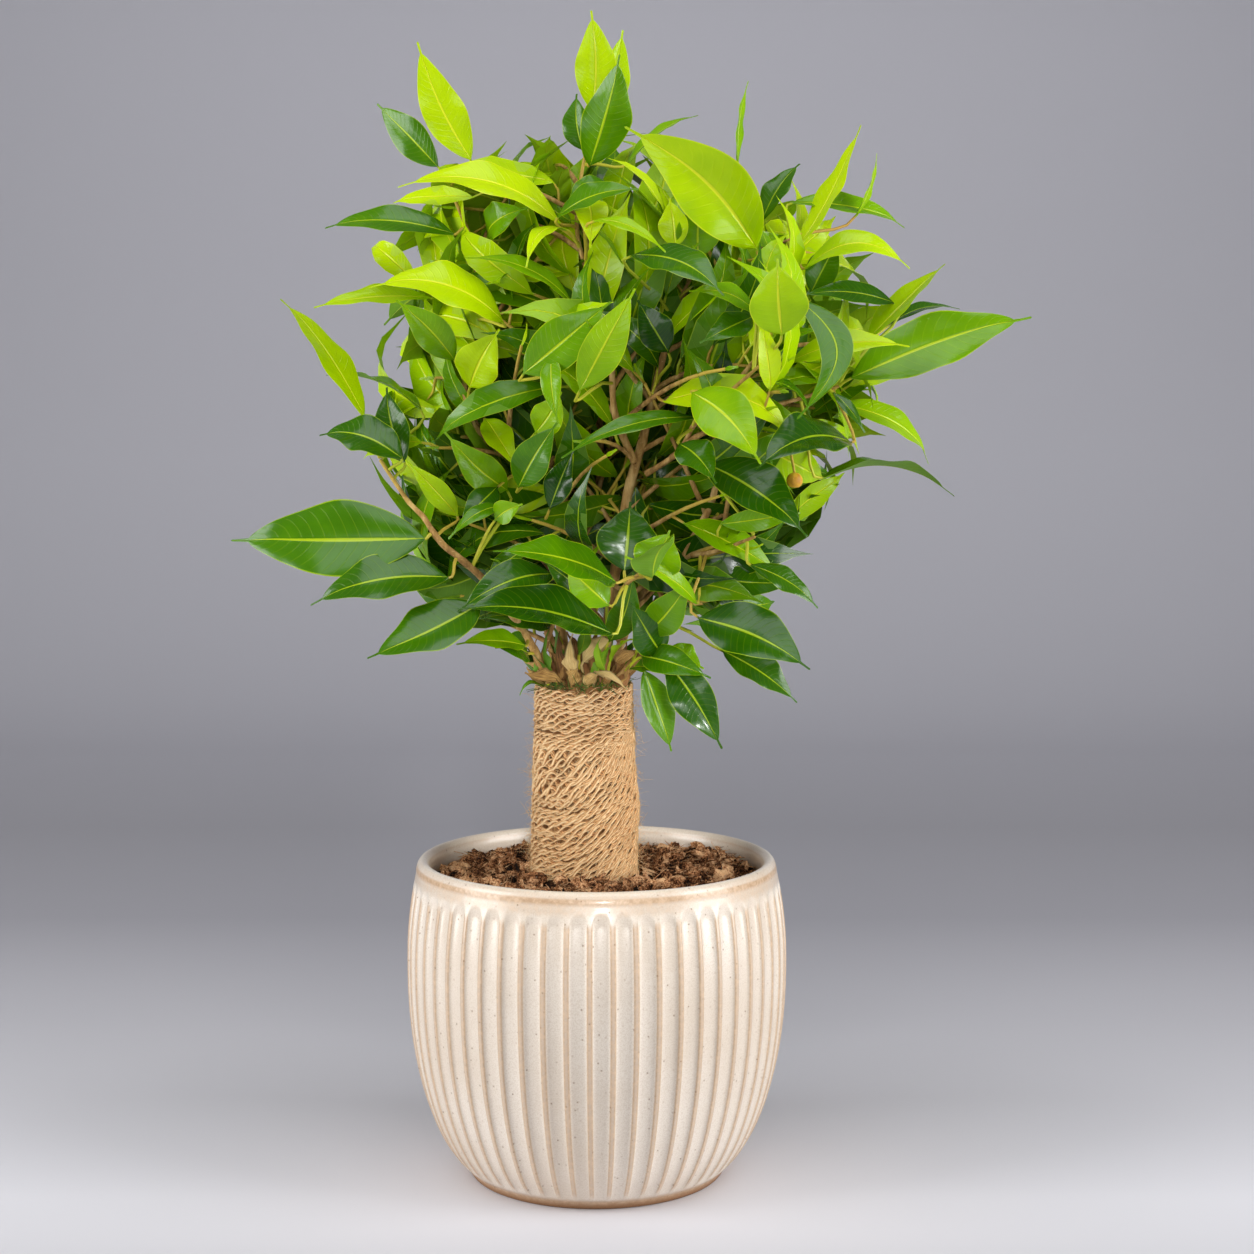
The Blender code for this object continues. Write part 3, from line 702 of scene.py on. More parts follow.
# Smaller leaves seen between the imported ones: stem, share along it, reach to the blade's foot, the blade,
# width, the way its upper face looks, arch and age. Lengths are in millimetres.
SMALLER = {
    "left": [
        ("stem_left", 0.22, (1, -14, -6), (-32, -24, 4), 15, (0, -0.7, 0.7), 0.10, 0.62),
        ("stem_left", 0.96, (8, 8, 4), (-10, 10, 38), 19, (-0.3, -1, 0.1), 0.06, 0.25),
        ("stem_left", 0.36, (26, -7, 14), (-46, -26, -16), 22, (0, -0.8, 0.6), 0.16, 0.22),
        ("stem_left", 0.72, (13, 11, 5), (-24, -16, 28), 12, (-0.2, -1, 0.4), 0.06, 0.82),
        ("stem_inner_left", 0.45, (-7, -25, -16), (-18, -16, -17), 15, (0, -0.9, 0.5), 0.10, 0.22),
        ("stem_left", 0.56, (20, 4, 27), (-26, -18, -15), 9, (0, -0.8, 0.6), 0.18, 0.44),
        ("stem_inner_left", 0.35, (7, -40, -3), (12, -4, 29), 15, (-0.3, -1, 0.1), 0.05, 0.10),
        ("stem_left", 0.56, (17, -4, 21), (14, -10, 8), 12, (0.1, -1, 0.2), 0.08, 0.62),
        ("stem_inner_left", 0.47, (18, -38, 9), (13, -10, 20), 17, (0, -1, 0.2), 0.06, 0.70),
        ("stem_inner_left", 0.43, (1, -40, -11), (20, -16, 32), 19, (0.1, -1, 0.3), 0.08, 0.40),
        ("stem_left", 0.16, (-2, -4, -4), (-15, -20, 5), 17, (0, -0.9, 0.4), 0.10, 0.34),
        ("stem_left", 0.56, (21, 24, 35), (-29, -24, 29), 18, (-0.2, -0.9, 0.3), 0.08, 0.60),
        ("stem_inner_left", 0.66, (-6, -10, 2), (-28, -10, 29), 18, (-0.3, -0.9, 0.3), 0.08, 0.62),
        ("stem_inner_left", 0.62, (3, -9, -1), (16, -20, 28), 23, (0.1, -1, 0.3), 0.06, 0.92),
        ("stem_inner_left", 0.55, (7, -10, 1), (17, -20, -25), 15, (0.2, -0.9, 0.3), 0.10, 0.82),
    ],
    "upper_left": [
        ("stem_inner_left", 0.79, (-26, 20, -1), (-59, -10, -5), 16, (0, -0.6, 0.8), 0.08, 0.85),
        ("stem_inner_left", 0.89, (9, -4, 3), (21, -20, 12), 20, (0.2, -0.9, 0.4), 0.20, 0.55),
        ("branch_crown", 0.50, (-13, -4, -2), (-52, -24, 22), 18, (0, -0.6, 0.8), 0.14, 0.60),
        ("branch_crown", 0.71, (-6, -12, 2), (-19, -24, -20), 11, (-0.4, -0.8, 0.4), 0.22, 0.93),
        ("branch_crown", 0.34, (-28, -40, -2), (3, -14, -33), 11, (-0.3, -1, 0), 0.12, 0.58),
    ],
    "top": [
        ("branch_crown", 1.00, (8, 13, 13), (10, 3, 46), 16, (0.3, -1, 0.1), 0.05, 0.86),
        ("branch_crown", 1.00, (-3, 20, -1), (-3, 4, 29), 16, (-0.4, -1, 0.1), 0.05, 0.35),
        ("branch_crown", 0.97, (22, 1, -5), (35, 4, 25), 13, (-0.5, -0.4, 0.8), 0.08, 0.62),
        ("branch_crown", 0.88, (16, -2, -3), (-24, -12, -13), 18, (0, -0.8, 0.6), 0.14, 0.45),
        ("branch_crown", 0.79, (5, -13, 4), (2, -24, -26), 17, (0.1, -1, 0.2), 0.14, 1.00),
        ("stem_main", 0.95, (16, 0, -9), (20, 10, 30), 16, (-0.6, -0.7, 0.2), 0.10, 0.35),
        ("stem_main", 0.89, (-10, -29, 15), (-4, -24, -32), 21, (0, -1, 0.2), 0.12, 0.62),
        ("branch_top_right", 1.00, (35, 15, 14), (11, 6, 32), 9, (1, -0.3, 0), 0.05, 0.75),
        ("branch_top_right", 0.21, (-10, -32, 6), (2, -6, 29), 22, (0, -1, 0.1), 0.06, 0.60),
        ("branch_top_right", 0.09, (-16, -37, 14), (-3, 0, 24), 15, (-0.2, -1, 0.1), 0.06, 0.93),
        ("branch_crown", 0.66, (8, -37, 12), (34, -14, -16), 8, (0.2, -0.8, 0.6), 0.16, 0.74),
        ("branch_crown", 0.72, (-9, -22, 6), (40, -12, 12), 17, (0, -0.7, 0.7), 0.10, 0.44),
    ],
    "right": [
        ("branch_far_right", 0.64, (-5, 0, 18), (57, -22, 8), 18, (0, -0.7, 0.7), 0.12, 0.93),
        ("branch_far_right", 0.95, (34, 40, 34), (37, 12, 8), 12, (0, -0.4, 0.9), 0.10, 0.30),
        ("branch_mid", 0.47, (-8, -18, -10), (17, -20, -18), 19, (0.2, -0.9, 0.2), 0.12, 0.30),
        ("branch_mid", 0.49, (-2, -4, 2), (-65, -22, -18), 12, (0, -0.7, 0.7), 0.12, 0.40),
        ("branch_top_right", 1.00, (10, -5, -27), (14, -2, 27), 17, (-0.2, -1, 0.1), 0.04, 0.44),
        ("branch_far_right", 1.00, (30, 28, 43), (-49, -14, 3), 15, (0.1, -0.8, 0.6), 0.08, 0.28),
        ("branch_far_right", 0.94, (-1, -24, -3), (14, -10, -19), 7, (0.3, -0.9, 0.3), 0.10, 0.26),
    ],
    "front": [
        ("branch_front", 0.67, (-1, 2, 7), (3, 6, 34), 31, (0, -1, 0.15), 0.05, 0.22),
        ("branch_front", 0.67, (-9, -6, -10), (-21, 8, 19), 20, (0, -1, 0.3), 0.08, 0.64),
        ("branch_front", 0.87, (8, 4, 2), (10, -6, 22), 25, (0, -1, 0.15), 0.06, 0.60),
        ("branch_low_right", 0.19, (-4, -13, -24), (-35, -22, 25), 10, (0.3, -0.9, 0.5), 0.14, 0.66),
        ("stem_right", 0.14, (7, -11, -6), (-16, -18, 28), 20, (0.1, -1, 0.2), 0.08, 0.22),
        ("stem_right", 0.16, (9, -5, -7), (18, -6, -10), 15, (0.1, -0.9, 0.4), 0.10, 0.60),
        ("stem_main", 0.60, (3, -28, 6), (-15, -4, 25), 18, (0, -1, 0.2), 0.08, 0.10),
        ("branch_mid", 1.00, (-3, 12, 24), (-26, -18, -13), 15, (0, -0.9, 0.4), 0.10, 0.36),
        ("branch_mid", 1.00, (-1, 8, 26), (-33, -18, 10), 14, (0, -0.8, 0.6), 0.12, 0.62),
        ("stem_main", 0.06, (3, -16, 6), (12, -24, 36), 16, (0.2, -1, 0.2), 0.06, 0.34),
        ("stem_main", 0.08, (-10, -14, 4), (-10, -30, 30), 15, (-0.2, -1, 0.2), 0.06, 0.46),
        ("stem_inner_left", 0.10, (-5, -12, 2), (-36, -26, 6), 18, (0, -0.8, 0.6), 0.14, 0.30),
        ("stem_right", 0.06, (6, -12, 5), (34, -22, -8), 17, (0.1, -0.9, 0.4), 0.14, 0.36),
        ("stem_right", 0.10, (4, -16, 12), (22, -26, 30), 19, (0.1, -1, 0.2), 0.10, 0.52),
        ("stem_main", 0.14, (-4, -22, 6), (-30, -26, 22), 20, (-0.1, -1, 0.3), 0.10, 0.24),
    ],
}


def stem_start(line, radii, foot, share):
    """Where a stalk to foot leaves a stem at that share of its length, on the stem's skin."""
    at, _ = at_share(line, share)
    radius = np.interp(share, np.linspace(0, 1, len(radii)), radii)
    return at + unit(foot - at) * radius * 0.8


def make_leaves(finish, stems):
    """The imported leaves, each rebuilt as a piece, then the smaller leaves of each part of the crown."""
    dice = np.random.default_rng(7)
    shown = []
    for zone, habits in HABITS.items():
        for number, (age, wide, arched) in enumerate(habits, 1):
            node = f"leaf_{zone}_{number}"
            leaf = with_habit(read_leaf(node), age, dice)
            leaf["sway"] = SWAY.get(node, leaf["sway"])
            leaf["width"] *= wide
            leaf["arch"] *= arched
            leaf["up"] = unit(FACING.get(node, leaf["up"]))
            for end, shift in zip(("foot", "tip"), NUDGE.get(node, ())):
                leaf[end] = leaf[end] + np.array(shift) * MM
            leaf_piece(f"fig_{node}", stack([leaf]), finish, [node])
            shown.append(leaf)
    for zone, rows in SMALLER.items():
        group = []
        for stem, share, reach, blade, width, facing, arch, age in rows:
            line, radii = stems[stem]
            foot = at_share(line, share)[0] + np.array(reach) * MM
            start = stem_start(line, radii, foot, max(share - 0.04, 0))
            leaf = dict(
                start=start, foot=foot, tip=foot + np.array(blade) * MM, up=unit(facing), width=width * MM,
                arch=arch,
            )
            group.append(with_habit(leaf, age, dice))
        leaf_piece(f"smaller_leaves_{zone}", stack(group), finish)
        shown += group
    return stack(shown)


# ---------------------------------------------------------------- stems


def make_stems(finish):
    """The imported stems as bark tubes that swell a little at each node, with a slightly lumpy girth."""
    stems = {}
    for node in sorted(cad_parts):
        if not node.startswith(("stem_", "branch_")):
            continue
        line, radii = read_stem(node)
        stems[node] = line, radii
        fine = through(line, 6)
        share = np.linspace(0, 1, len(fine))
        wide = np.interp(share, np.linspace(0, 1, len(radii)), radii)
        length = np.append(0, np.cumsum(np.linalg.norm(np.diff(fine, axis=0), axis=1)))
        knot = np.exp(-(((length / 0.021 + 0.5) % 1 - 0.5) / 0.09) ** 2)
        sides = 12
        ring = fine[:, None] + 0.003 * around(0, 1, angles(sides), 0)
        swell = wide[:, None] * (0.16 * knot[:, None] + 0.10 * lattice_noise(ring, 0.006, 3))
        age = np.append(np.repeat(share, sides), [0, 1]) * 0.75
        piece(f"bark_{node}", tube(fine, wide, sides, swell), finish, "bark", [node], youth=age)
    return stems


# ---------------------------------------------------------------- pot and soil

POT_HIGH, POT_FOOT, POT_WALL, POT_FLOOR = 0.168, 0.068, 0.0076, 0.009
POT_WIDEST, WIDEST_Z, LIP_START, SHOULDER = 0.1002, 0.114, 0.161, 0.0950
BELLY_LOW_R, BELLY_LOW_Z = 0.0625, 0.0015  # where the belly's curve would meet the table
FLUTES, FLUTE_DEPTH, FLUTE_TOP = 54, 0.0018, 0.1590
RIDGE_TURN = math.radians(-91.2)  # where one ridge stands, a little left of the front
LIP_TURN = (0, 9, 16, 23, 30, 38, 50, 64, 80, 96, 112, 128, 144, 162, 180)  # degrees over the lip, from outside
LIP_OUTER = 8  # how many of those stand on its outer side
SOIL_WALL, SOIL_CROWN = 0.1530, 0.1565


def pot_radius(z, widest):
    """The pot's outside below the lip: a short upright foot, a belly, and a draw-in towards the lip."""
    below = np.clip((WIDEST_Z - z) / (WIDEST_Z - BELLY_LOW_Z), 0, 1)
    above = np.clip((z - WIDEST_Z) / (LIP_START - WIDEST_Z), 0, 1)
    belly = BELLY_LOW_R + (widest - BELLY_LOW_R) * (1 - below**2.2) ** 0.6
    return np.maximum(belly, POT_FOOT) - (widest - SHOULDER) * above**2.1


def glaze_breaks(height, walls, u):
    """How thin the glaze is and how bare the clay, for each ring and each step round. walls is the number of
    rings below the lip. Glaze is thin on the ridges, in a line under the lip, less so on the shoulder and the
    lip's crest, round the lip's inner edge, inside the pot, and at the foot, where it stops."""
    step = np.arange(len(height))
    wall, outside, inside = step < walls, step < walls + LIP_OUTER, step >= walls + len(LIP_TURN)
    under_lip, crest = ease(0.1612, 0.1634, height), ease(0.1640, 0.1656, height)
    shoulder = ease(0.1530, 0.1590, height) * (1 - under_lip)
    lines = 1.06 * under_lip * (1 - crest) + 0.55 * shoulder + 0.45 * crest
    inner_edge = 0.75 * np.exp(-(((height - 0.1645) / 0.0012) ** 2))
    foot = 1.10 * (1 - ease(0.0030, 0.0085, height))
    thin = np.maximum(lines * outside + 0.75 * inside, np.maximum(inner_edge * ~outside, foot * wall))
    ridge = (0.66 + 0.34 * ease(0.08, 0.20, u)) * (1 - ease(0.18, 0.34, u))
    fluted = wall * ease(0.004, 0.012, height) * (1 - ease(0.1500, 0.1560, height))
    bare = (1 - ease(0.0018, 0.0044, height)) * wall
    return np.maximum(thin[:, None], ridge * fluted[:, None]), bare[:, None] + 0 * u


def make_pot(finish):
    """The pot as one turned surface. Round it, each flute is a shallow scoop between narrow flat ridges: with u
    from 0 on a ridge to 1 in the middle of a flute, its depth is 0.55 of an ease over the ridge's shoulder
    plus 0.45 of a parabola across. A flute's top is a round arch, and its foot runs out. The wall is a hair
    out of round, as thrown pots are."""
    low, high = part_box("pot")
    widest = (high.x - low.x) / 2
    u = np.array([0, 0.12, 0.20, 0.26, 0.32, 0.40, 0.62, 1.0])
    angle = np.concatenate([u / 2, 1 - u[-2:0:-1] / 2])
    u = np.tile(np.concatenate([u, u[-2:0:-1]]), FLUTES)
    theta = (RIDGE_TURN + (np.arange(FLUTES)[:, None] + angle) * TURN / FLUTES).ravel()
    z = np.concatenate([
        [0.0002, 0.0008, 0.0016, 0.0028, 0.0040, 0.0052], np.linspace(0.0065, 0.020, 10),
        np.linspace(0.024, 0.146, 26), np.linspace(0.1485, LIP_START, 18)[:-1],
    ])[:, None]
    wobble = 1 + 0.0022 * np.sin(3 * theta + 1.0) * ease(0.01, 0.06, z) * ease(0.168, 0.150, z)
    depth = 0.55 * ease(0.13, 0.40, u) + 0.45 * (1 - ((1 - u) / 0.8) ** 2).clip(0)
    arch = FLUTE_TOP - 0.0060 * (1 - np.sqrt((1 - (np.minimum(1 - u, 0.78) / 0.8) ** 2)))
    cut = depth * ease(0.0, 0.0075, arch - z) * ease(0.0035, 0.0125, z)
    rounding = 0.0016 * (1 - ease(-0.0008, 0.0020, z))
    outside = pot_radius(z, widest) * wobble - FLUTE_DEPTH * cut - rounding
    turn = np.radians(LIP_TURN)
    lip_r = SHOULDER + (np.cos(turn) - 1) * POT_WALL / 2
    lip_z = LIP_START + (POT_HIGH - LIP_START) * np.sin(turn)
    drop = np.array([0.1560, 0.1500, 0.1400, 0.1200, 0.0900, 0.0500, 0.0200])
    inside_r = np.append(pot_radius(drop, widest) - POT_WALL, [0.058, 0.040])
    round_r = np.concatenate([lip_r, inside_r])[:, None] + 0 * theta
    height = np.concatenate([z.ravel(), lip_z, drop, [POT_FLOOR, POT_FLOOR]])
    rings = around(0, np.vstack([outside, round_r]), theta, height[:, None])
    shape = skins(rings[None], np.array([[0, 0, 0.0002]]), np.array([[0, 0, POT_FLOOR]]))
    thin, bare = (np.append(field.ravel(), [0, 0]) for field in glaze_breaks(height, len(z), u))
    bare[-2] = 1
    piece("fluted_pot", shape, finish, "cream_glaze", ["pot"], thin=thin, bare=bare)


def lumps(middles, sizes, dice):
    """Closed crumbs of 80 triangles each: a geodesic ball stretched three ways, turned, and dented by noise."""
    ball = bmesh.new()
    bmesh.ops.create_icosphere(ball, subdivisions=2, radius=1.0)
    ball.verts.ensure_lookup_table()
    form = np.array([v.co[:] for v in ball.verts])
    faces = np.array([[v.index for v in f.verts] for f in ball.faces])
    ball.free()
    n = len(middles)
    stretch = dice.uniform(0.28, 1.55, (n, 1, 3))
    turn, _ = np.linalg.qr(dice.normal(size=(n, 3, 3)))
    turn *= np.sign(np.linalg.det(turn))[:, None, None]
    dents = 1 + 0.78 * lattice_noise(form[None] + dice.uniform(0, 50, (n, 1, 3)), 0.62, 5)  # no two alike
    points = np.einsum("nij,nkj->nki", turn, form[None] * stretch * dents[..., None])
    points = points * sizes[:, None, None] + middles[:, None]
    faces = faces[None] + (np.arange(n) * len(form))[:, None, None]
    return points.reshape(-1, 3), faces.reshape(-1, 3)


def soil_height(x, y):
    """The soil's top: a little higher towards the middle, heaped behind the trunk, and lumpy."""
    r = np.hypot(x, y)
    at = np.stack([x, y, 0 * x], axis=-1)
    rough = 0.0030 * lattice_noise(at, 0.014, 1) + 0.0030 * lattice_noise(at, 0.0065, 2)
    heap = 0.0045 * ease(-0.02, 0.06, y)
    return SOIL_CROWN + (SOIL_WALL - SOIL_CROWN) * ease(0.045, 0.086, r) + heap + rough - 0.0004


def strewn(dice, count, near, far, trunk_x):
    """Places strewn evenly over the soil, from near the trunk to near the pot's wall."""
    r = np.sqrt(dice.uniform(near**2, far**2, count))
    t = dice.uniform(0, TURN, count)
    return r * np.cos(t) + trunk_x * (1 - r / 0.085), r * np.sin(t)


# The loose crumbs: how many, the smallest and the largest size.
CRUMBS = ((1000, 0.0008, 0.0016), (900, 0.0014, 0.0027), (300, 0.0022, 0.0039))
CRUMB_CREASE = 24  # degrees


def make_soil(finish, trunk_x):
    """The soil body with a rough top, then loose crumbs and fibres lying on it. Painted shade darkens the bed's low
    spots and the crumbs that lie deep.
    """
    low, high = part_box("potting_soil")
    dice = np.random.default_rng(4)

    def soil_radius(z):  # a hair inside the pot's wall
        return np.minimum(pot_radius(z, POT_WIDEST) - POT_WALL - 0.0006, (high.x - low.x) / 2 - 0.0004)

    a = angles(200)
    grow = np.concatenate([np.linspace(1, 0.34, 40), [0.30]])[:, None]
    top_r = soil_radius(SOIL_WALL) * grow
    x, y = top_r * np.cos(a), top_r * np.sin(a)
    top = np.stack([x + trunk_x * (1 - grow), y, soil_height(x, y)], axis=-1)
    down = np.array([0.020, 0.060, 0.100, 0.135])[:, None]
    rings = np.concatenate([around(0, soil_radius(down), a, down), top])
    shape = skins(rings[None], np.array([[0, 0, low.z + 0.0004]]), np.array([[trunk_x, 0, 0.1500]]))
    # Painted shade: the same noise as the top's smaller lumps, so the bed's low spots are dark.
    chance = lattice_noise(shape[0] * (1, 1, 0), 0.0065, 2) * 0.5 + 0.25
    piece("soil_bed", shape, finish, "peat_soil", ["potting_soil"], chance=chance)

    for number, (count, small, big) in enumerate(CRUMBS, 1):
        x, y = strewn(dice, count, 0.030, 0.0835, trunk_x)
        size = dice.uniform(small, big, count)
        raised = dice.uniform(-0.2, 0.95, count)
        middle = np.stack([x, y, soil_height(x, y) + size * raised], axis=-1)
        points, faces = lumps(middle, size, dice)
        # Painted shade for half of it: crumbs that lie deep are darker. The other half is random.
        shade = 0.5 * ease(-0.2, 0.9, raised) + 0.5 * dice.uniform(0, 1, count)
        shade = np.repeat(shade, len(faces) // count)
        piece(f"soil_crumbs_{number}", (points, faces), finish, "peat_soil", crease=CRUMB_CREASE, chance=shade)

    count = 2000
    x, y = strewn(dice, count, 0.031, 0.082, trunk_x)
    start = np.stack([x, y, soil_height(x, y) + dice.uniform(0.0005, 0.003, count)], axis=-1)
    shape = strands(start, 0.003, 0.010, 0.00038, dice, flat=0.22)
    piece("soil_fibres", shape, finish, "peat_soil", chance=strand_shades(dice, 0.3, count))


STRAND_ROWS, STRAND_SIDES = 5, 3


def strands(start, short, long, radius, dice, flat=1.0, out=None):
    """Short curled fibres of three sides, each from its start: a straight run bent by a square and a wave.
    flat below 1 lays them down."""
    n = len(start)
    lie = np.array((1, 1, flat))
    way = dice.normal(size=(n, 3)) * lie
    way = unit(way if out is None else out + dice.normal(size=(n, 3)) * 0.55)
    bend = dice.normal(size=(n, 3)) * 0.50 * lie
    wave = dice.normal(size=(n, 3)) * 0.12 * lie
    t = np.linspace(0, 1, STRAND_ROWS)[None, :, None]
    length = dice.uniform(short, long, (n, 1, 1))
    line = start[:, None] + length * (
        way[:, None] * t + bend[:, None] * t**2 * 0.6 + wave[:, None] * np.sin(5 * t)
    )
    ahead = unit(np.gradient(line, axis=1))
    side = unit(np.cross(ahead, (0.31, 0.87, 0.4)))
    thick = radius * (1 - 0.6 * t) * dice.uniform(0.7, 1.3, (n, 1, 1))
    rings = rings_round(line, thick, STRAND_SIDES, side, np.cross(ahead, side))
    return skins(rings, line[:, 0] - ahead[:, 0] * radius, line[:, -1] + ahead[:, -1] * radius)


def strand_shades(dice, low, count):
    """A number from low to 1 for each face of that many strands: first their walls, then their ends."""
    walls, ends = (STRAND_ROWS - 1) * STRAND_SIDES, 2 * STRAND_SIDES
    return np.concatenate([np.repeat(dice.uniform(low, 1, count), each) for each in (walls, ends)])


# ---------------------------------------------------------------- trunk and jute wrap

# The radius of the net at its top and at the soil, how far apart its rows lie, and the steps round one yarn.
NET_TOP_R, NET_FOOT_R, ROW_STEP, YARN_STEPS = 0.0238, 0.0270, 0.00305, 150
YARN_R, LOOSE_YARN_R, HAIR_R = 0.00074, 0.00052, 0.00012
YARN_TWISTS, YARN_MM = 60, 176  # turns of twist in one yarn round the trunk, and about how long it is


def drawn_askew(a, height):
    """How far a row that lies at that height on the left is drawn up at angle a: the net climbs from its left
    front to its right side, and falls again behind. Its upper third lies level."""
    a = (a + math.pi) % TURN - math.pi
    climb = ease(-2.1, 0.25, a) * (1 - ease(0.25, 2.9, a))
    return 0.026 * climb * (1 - ease(0.194, 0.242, height))


def net_radius(z, low, high):
    """The net's radius at a height. low and high are the corners of its box."""
    return NET_TOP_R + (NET_FOOT_R - NET_TOP_R) * (high.z - z) / (high.z - low.z)


def net_yarns(low, high, trunk_x, dice):
    """The yarns' lines, and how deep each point lies, from 0 on a crest to 1 under another yarn, which the yarn's
    finish paints as shade. Each row is two yarns that cross every half wave and leave an eye between: height = row +
    drawn_askew +- swing * sin(waves * angle + shift). The yarn on top at a crossing stands out by cos of the same
    angle."""
    lines, buried = [], []
    for row, base in enumerate(np.arange(low.z - 0.0265, high.z + 0.0012, ROW_STEP)):
        waves = int(dice.integers(11, 16))
        shift = dice.uniform(0, TURN)
        wide_eyes = ease(0.196, 0.204, base) * (1 - ease(0.222, 0.232, base))
        swing = dice.uniform(0.0010, 0.0017) + 0.0015 * wide_eyes
        for twin in (0, 1):
            a = angles(YARN_STEPS) + dice.uniform(0, 0.02)
            drift = 0.9 * np.sin(a * 2 + row) + 0.6 * np.sin(a * 5 + 1.7 * row)
            phase = waves * a + shift + twin * math.pi + drift * 0.8
            z = base + swing * np.sin(phase) * (1 + 0.35 * np.sin(3 * a + row)) + drawn_askew(a, base)
            place = around(0, 0.028, a, z)
            z = z + 0.0007 * lattice_noise(place, 0.013, 130 + row) + 0.0002 * lattice_noise(place, 0.004, row)
            z = np.clip(z, low.z + 0.0008 + 0.0004 * twin, high.z + 0.0022)
            z = z + (0.0034 * np.abs(np.cos(a)) - 0.0014) * ease(high.z - 0.016, high.z, z)
            r = net_radius(z, low, high) + 0.0008
            r = r + 0.00060 * np.cos(phase) + 0.0004 * lattice_noise(place, 0.010, 260 + row)
            r = r + 0.0018 * np.exp(-(((z - 0.196) / 0.014) ** 2)) * np.clip(np.cos(a + 0.5), 0, 1)
            lines.append(around(trunk_x, r, a, z))
            buried.append(0.5 - 0.5 * np.cos(phase))
    return np.array(lines), np.array(buried)


def make_net(jute, trunk_x, dice):
    """The net drawn over the trunk, of closed rings of twisted yarn."""
    sides = 7
    line, buried = net_yarns(*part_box("jute_wrap"), trunk_x, dice)
    n = len(line)
    ahead = unit(np.roll(line, -1, axis=1) - np.roll(line, 1, axis=1))
    outward = unit((line - (trunk_x, 0, 0)) * (1, 1, 0))
    p = angles(sides)
    s = np.linspace(0, 1, YARN_STEPS, endpoint=False)[None, :, None]
    twist = YARN_TWISTS * TURN * s + dice.uniform(0, TURN, (n, 1, 1))
    girth = YARN_R * (1 + 0.14 * dice.normal(size=(n, 1, 1))) * (1 + 0.16 * np.cos(2 * p - twist))
    girth = girth * (1 + 0.22 * lattice_noise(line, 0.006, 9)[..., None])
    points = rings_round(line, girth, sides, *square_to(ahead, outward)).reshape(-1, 3)
    size = YARN_STEPS * sides
    start = (np.arange(n) * size)[:, None, None]
    i = np.arange(YARN_STEPS)[:, None] * sides
    after = np.roll(i, -1, axis=0)
    j = np.arange(sides)
    k = (j + 1) % sides
    quads = np.stack([start + i + j, start + i + k, start + after + k, start + after + j], axis=-1)
    along = s * YARN_MM + 7.3 * np.arange(n)[:, None, None]
    uv = np.stack(np.broadcast_arrays(along, p / TURN), axis=-1).reshape(-1, 2)
    # How deep each point lies under the crossing yarns, painted as shade by the finish.
    deep = np.repeat(buried.ravel(), sides)
    half = n // 2
    part = half * size
    low, high = (points[:part], quads[:half]), (points[part:], quads[half:] - part)
    piece("jute_net_low", low, jute, "jute", ["jute_wrap"], uv[:part], buried=deep[:part])
    piece("jute_net_high", high, jute, "jute", (), uv[part:], buried=deep[part:])


def make_loose_yarns(jute, trunk_x, dice):
    """Thinner yarns with pointed ends, lying on the net and crossing its rows."""
    low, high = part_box("jute_wrap")
    count, sides = 90, 6
    t = np.linspace(0, 1, 30)[None]
    a0, run = dice.uniform(0, TURN, (count, 1)), dice.uniform(0.7, 1.9, (count, 1))
    z0 = dice.uniform(low.z + 0.002, high.z - 0.004, (count, 1))
    a = a0 + run * t
    z = z0 + (dice.normal(size=(count, 1)) * 0.0045) * t + 0.0012 * np.sin(7 * t + 9 * a0)
    z = np.clip(z + drawn_askew(a, z0) - drawn_askew(a0, z0), low.z + 0.001, high.z - 0.0006)
    line = around(trunk_x, net_radius(z, low, high) + 0.0013 + 0.0005 * np.sin(15 * t + a0), a, z)
    p, s = angles(sides), t[..., None]
    girth = LOOSE_YARN_R * (1 + 0.2 * np.cos(2 * p - 170 * s)) * (0.35 + 0.65 * np.sin(np.pi * s) ** 0.4)
    frames = square_to(unit(np.gradient(line, axis=1)), around(0, 1, a, 0))
    shape = skins(rings_round(line, girth, sides, *frames), line[:, 0], line[:, -1])
    walls = np.stack(np.broadcast_arrays(s * 40 + a0[..., None] * 9, p / TURN), axis=-1).reshape(count, -1, 2)
    uv = np.concatenate([walls, np.zeros((count, 2, 2))], axis=1).reshape(-1, 2)
    piece("jute_loose_yarns", shape, jute, "jute", (), uv)


def make_fuzz(fuzz, trunk_x, dice):
    """Short hairs that stand off the net."""
    low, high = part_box("jute_wrap")
    count = 3000
    a = dice.uniform(0, TURN, count)
    z = low.z + 0.002 + (high.z - low.z - 0.002) * dice.beta(0.9, 1.2, count)
    start = around(trunk_x, net_radius(z, low, high) + 0.0010, a, z)
    out = around(0, 1, a, 0) * dice.uniform(0.1, 0.6, (count, 1))
    out = out + around(0, 1, a + TURN / 4, 0.2) * dice.normal(size=(count, 1))
    shape = strands(start, 0.002, 0.0085, HAIR_R, dice, out=out)
    piece("jute_fuzz", shape, fuzz, "jute", (), shape[0][:, [2, 0]] * (900, 500))


def make_old_trunk(bark, trunk_x):
    """The trunk under the net, with rough bark."""
    low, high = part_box("trunk")
    a = angles(72)
    share = np.linspace(0, 1, 34)[:, None]
    z = low.z + (high.z - low.z) * share
    rough = lattice_noise(around(0, 0.024, a, z) * (1, 1, 0.4), 0.006, 15)
    rings = around(trunk_x, 0.0236 - 0.0020 * share + 0.0006 * rough, a, z)
    foot, top = np.array([[trunk_x, 0, low.z]]), np.array([[trunk_x, 0, high.z - 0.0015]])
    piece("old_trunk", skins(rings[None], foot, top), bark, "bark", ["trunk"], youth=0)


def make_wrap(jute, fuzz, bark, trunk_x):
    """The wrap's net with its loose yarns and hairs, and the trunk under it."""
    dice = np.random.default_rng(12)
    make_net(jute, trunk_x, dice)
    make_loose_yarns(jute, trunk_x, dice)
    make_fuzz(fuzz, trunk_x, dice)
    make_old_trunk(bark, trunk_x)


